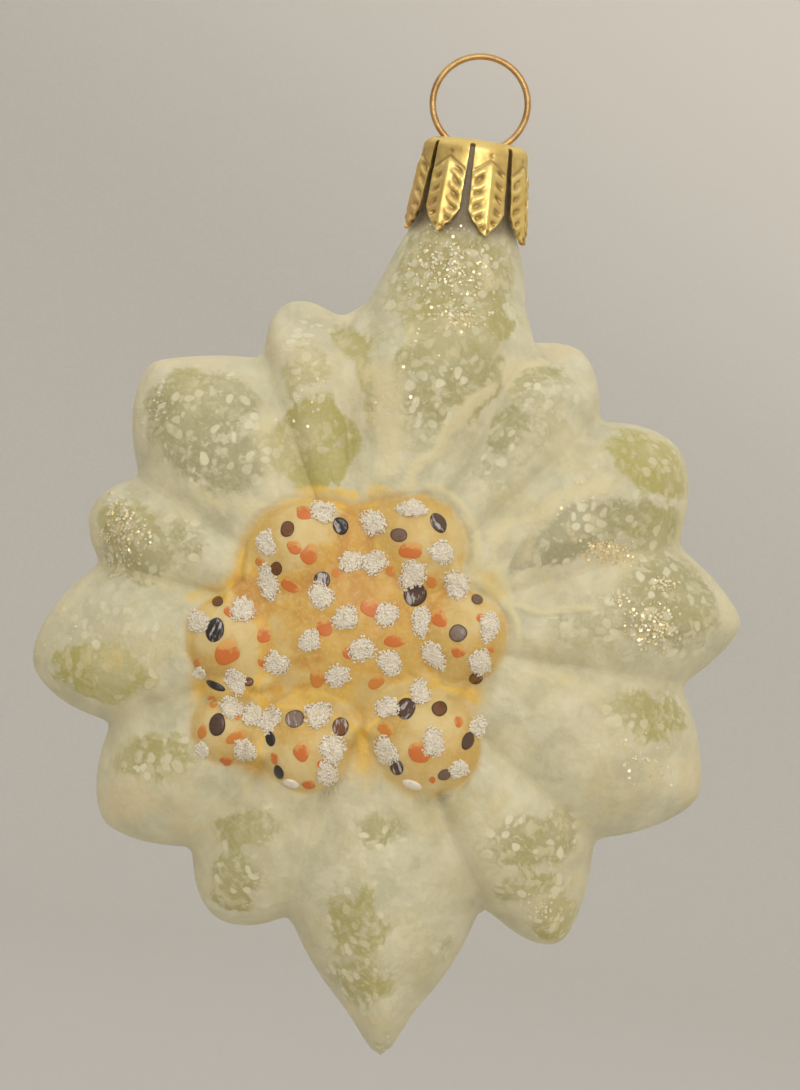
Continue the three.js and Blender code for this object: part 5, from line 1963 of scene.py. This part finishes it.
@dataclass
class Studio:
    """A pale bowl-shaped floor, soft lights, and the camera."""

    floor_z: float = -140.0
    flat_radius: float = 700.0
    bowl_radius: float = 1100.0
    wall_height: float = 700.0
    aim: tuple[float, float] = (-2.2, -49.2)  # x and z at the middle of the view
    distance: float = 600.0
    half_view: float = 54.5  # half of the view's taller side, at the ornament
    lamps: Sequence[Lamp] = (Lamp("key", (0.08, -1.05, 0.1), 0.7, 6.2), Lamp("fill", (-0.25, -1.05, -0.6), 1.0, 13.5))
    lamp_colour: Colour = (1.0, 0.955, 0.90)
    lamp_aim: tuple[float, float, float] = (0.0, 0.0, -0.055)
    sky_colour: Colour = (1.0, 0.965, 0.92)
    sky_strength: float = 0.88

    def camera(self) -> bpy.types.Object:
        """Places the camera straight in front, turned with the ornament's lean.

        Returns:
            The scene's camera.
        """
        lens = bpy.data.cameras.new("view")
        lens.sensor_width = 36
        lens.lens = lens.sensor_width / 2 * self.distance / self.half_view
        lens.clip_start = 0.01
        lens.clip_end = 20
        camera = bpy.data.objects.new("view", lens)
        bpy.context.scene.collection.objects.link(camera)
        c, s = math.cos(LEAN), math.sin(LEAN)
        basis = Matrix(((c, -s, 0), (0, 0, -1), (s, c, 0)))
        place = Matrix.Translation((self.aim[0] * MM, -self.distance * MM, self.aim[1] * MM))
        camera.matrix_world = place @ basis.to_4x4()
        bpy.context.scene.camera = camera
        return camera

    def floor(self) -> bpy.types.Object:
        """Makes the floor: a flat disc that curves up into a wall, as a profile carried round the middle.

        Returns:
            The finished floor.
        """
        bend = self.bowl_radius - self.flat_radius
        t = np.linspace(0, np.pi / 2, 24)
        radius = np.concatenate([np.linspace(60, self.flat_radius, 10), self.flat_radius + bend * np.sin(t[1:])])
        height = np.concatenate([np.zeros(10), bend - bend * np.cos(t[1:])])
        radius = np.append(radius, self.bowl_radius)
        height = np.append(height, self.wall_height)
        p = np.linspace(0, 2 * np.pi, 96, endpoint=False)
        draft = MeshDraft()
        level = self.floor_z + height[:, None] * np.ones_like(p)
        grid = draft.add(np.stack([radius[:, None] * np.cos(p), radius[:, None] * np.sin(p), level], axis=-1))
        draft.weave(grid, wrap=True)
        draft.fan(draft.add(np.array([[0, 0, self.floor_z]]))[0], grid[0])
        return draft.build("studio_floor", PaleFloor().material())

    def lights(self) -> None:
        """Lights the bowl evenly from a pale sky, with a soft key from above and a wide fill from the front."""
        world = bpy.data.worlds.new("studio_sky")
        bpy.context.scene.world = world
        world.use_nodes = True
        sky = world.node_tree.nodes["Background"]
        sky.inputs["Color"].default_value = (*self.sky_colour, 1)
        sky.inputs["Strength"].default_value = self.sky_strength
        for lamp in self.lamps:
            glow = bpy.data.lights.new(lamp.name, "AREA")
            glow.shape = "DISK"
            glow.size = lamp.width
            glow.energy = lamp.power
            glow.color = self.lamp_colour
            light = bpy.data.objects.new(lamp.name, glow)
            bpy.context.scene.collection.objects.link(light)
            light.location = lamp.place
            towards = Vector(self.lamp_aim) - light.location
            light.rotation_euler = towards.to_track_quat("-Z", "Y").to_euler()
            light.visible_camera = False
        bpy.context.scene.view_settings.view_transform = "Standard"
        bpy.context.scene.view_settings.look = "None"


def main() -> None:
    """Builds the studio and the ornament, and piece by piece."""
    logging.basicConfig(level=logging.INFO, format="%(name)s: %(message)s")
    studio = Studio()
    studio.camera()
    studio.floor()
    studio.lights()
    form = GlassForm()
    drape = Drape(form)
    flower = GlassFlower(form).build()
    cap = CrownCap().build()
    hanger = WireHanger().build()
    dark = EnamelDots("dark_enamel_dots", DARK_DABS, DotEnamel(), drape, thickness=0.14, unevenness=0.05)
    orange = EnamelDots("orange_enamel_dots", ORANGE_DABS, OrangeEnamel(), drape, thickness=0.05, unevenness=0.16)
    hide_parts("glass_flower")
    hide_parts("crown_cap")
    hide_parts("wire_hanger")
    pieces = (
        (flower, "lacquered_glass"),
        (GritCrumbs(drape).build(), "snow_grit"),
        (dark.build(), "enamel_dots"),
        (orange.build(), "enamel_dots"),
        (Glitter(form).build(), "lacquered_glass"),
        (cap, "cap_metal"),
        (hanger, "wire_metal"),
    )
    for piece, slot in pieces:
        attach(piece, "root")
        log.info("%s: %d faces, slot %s", piece.name, len(piece.data.polygons), slot)


if __name__ == "__main__":
    main()
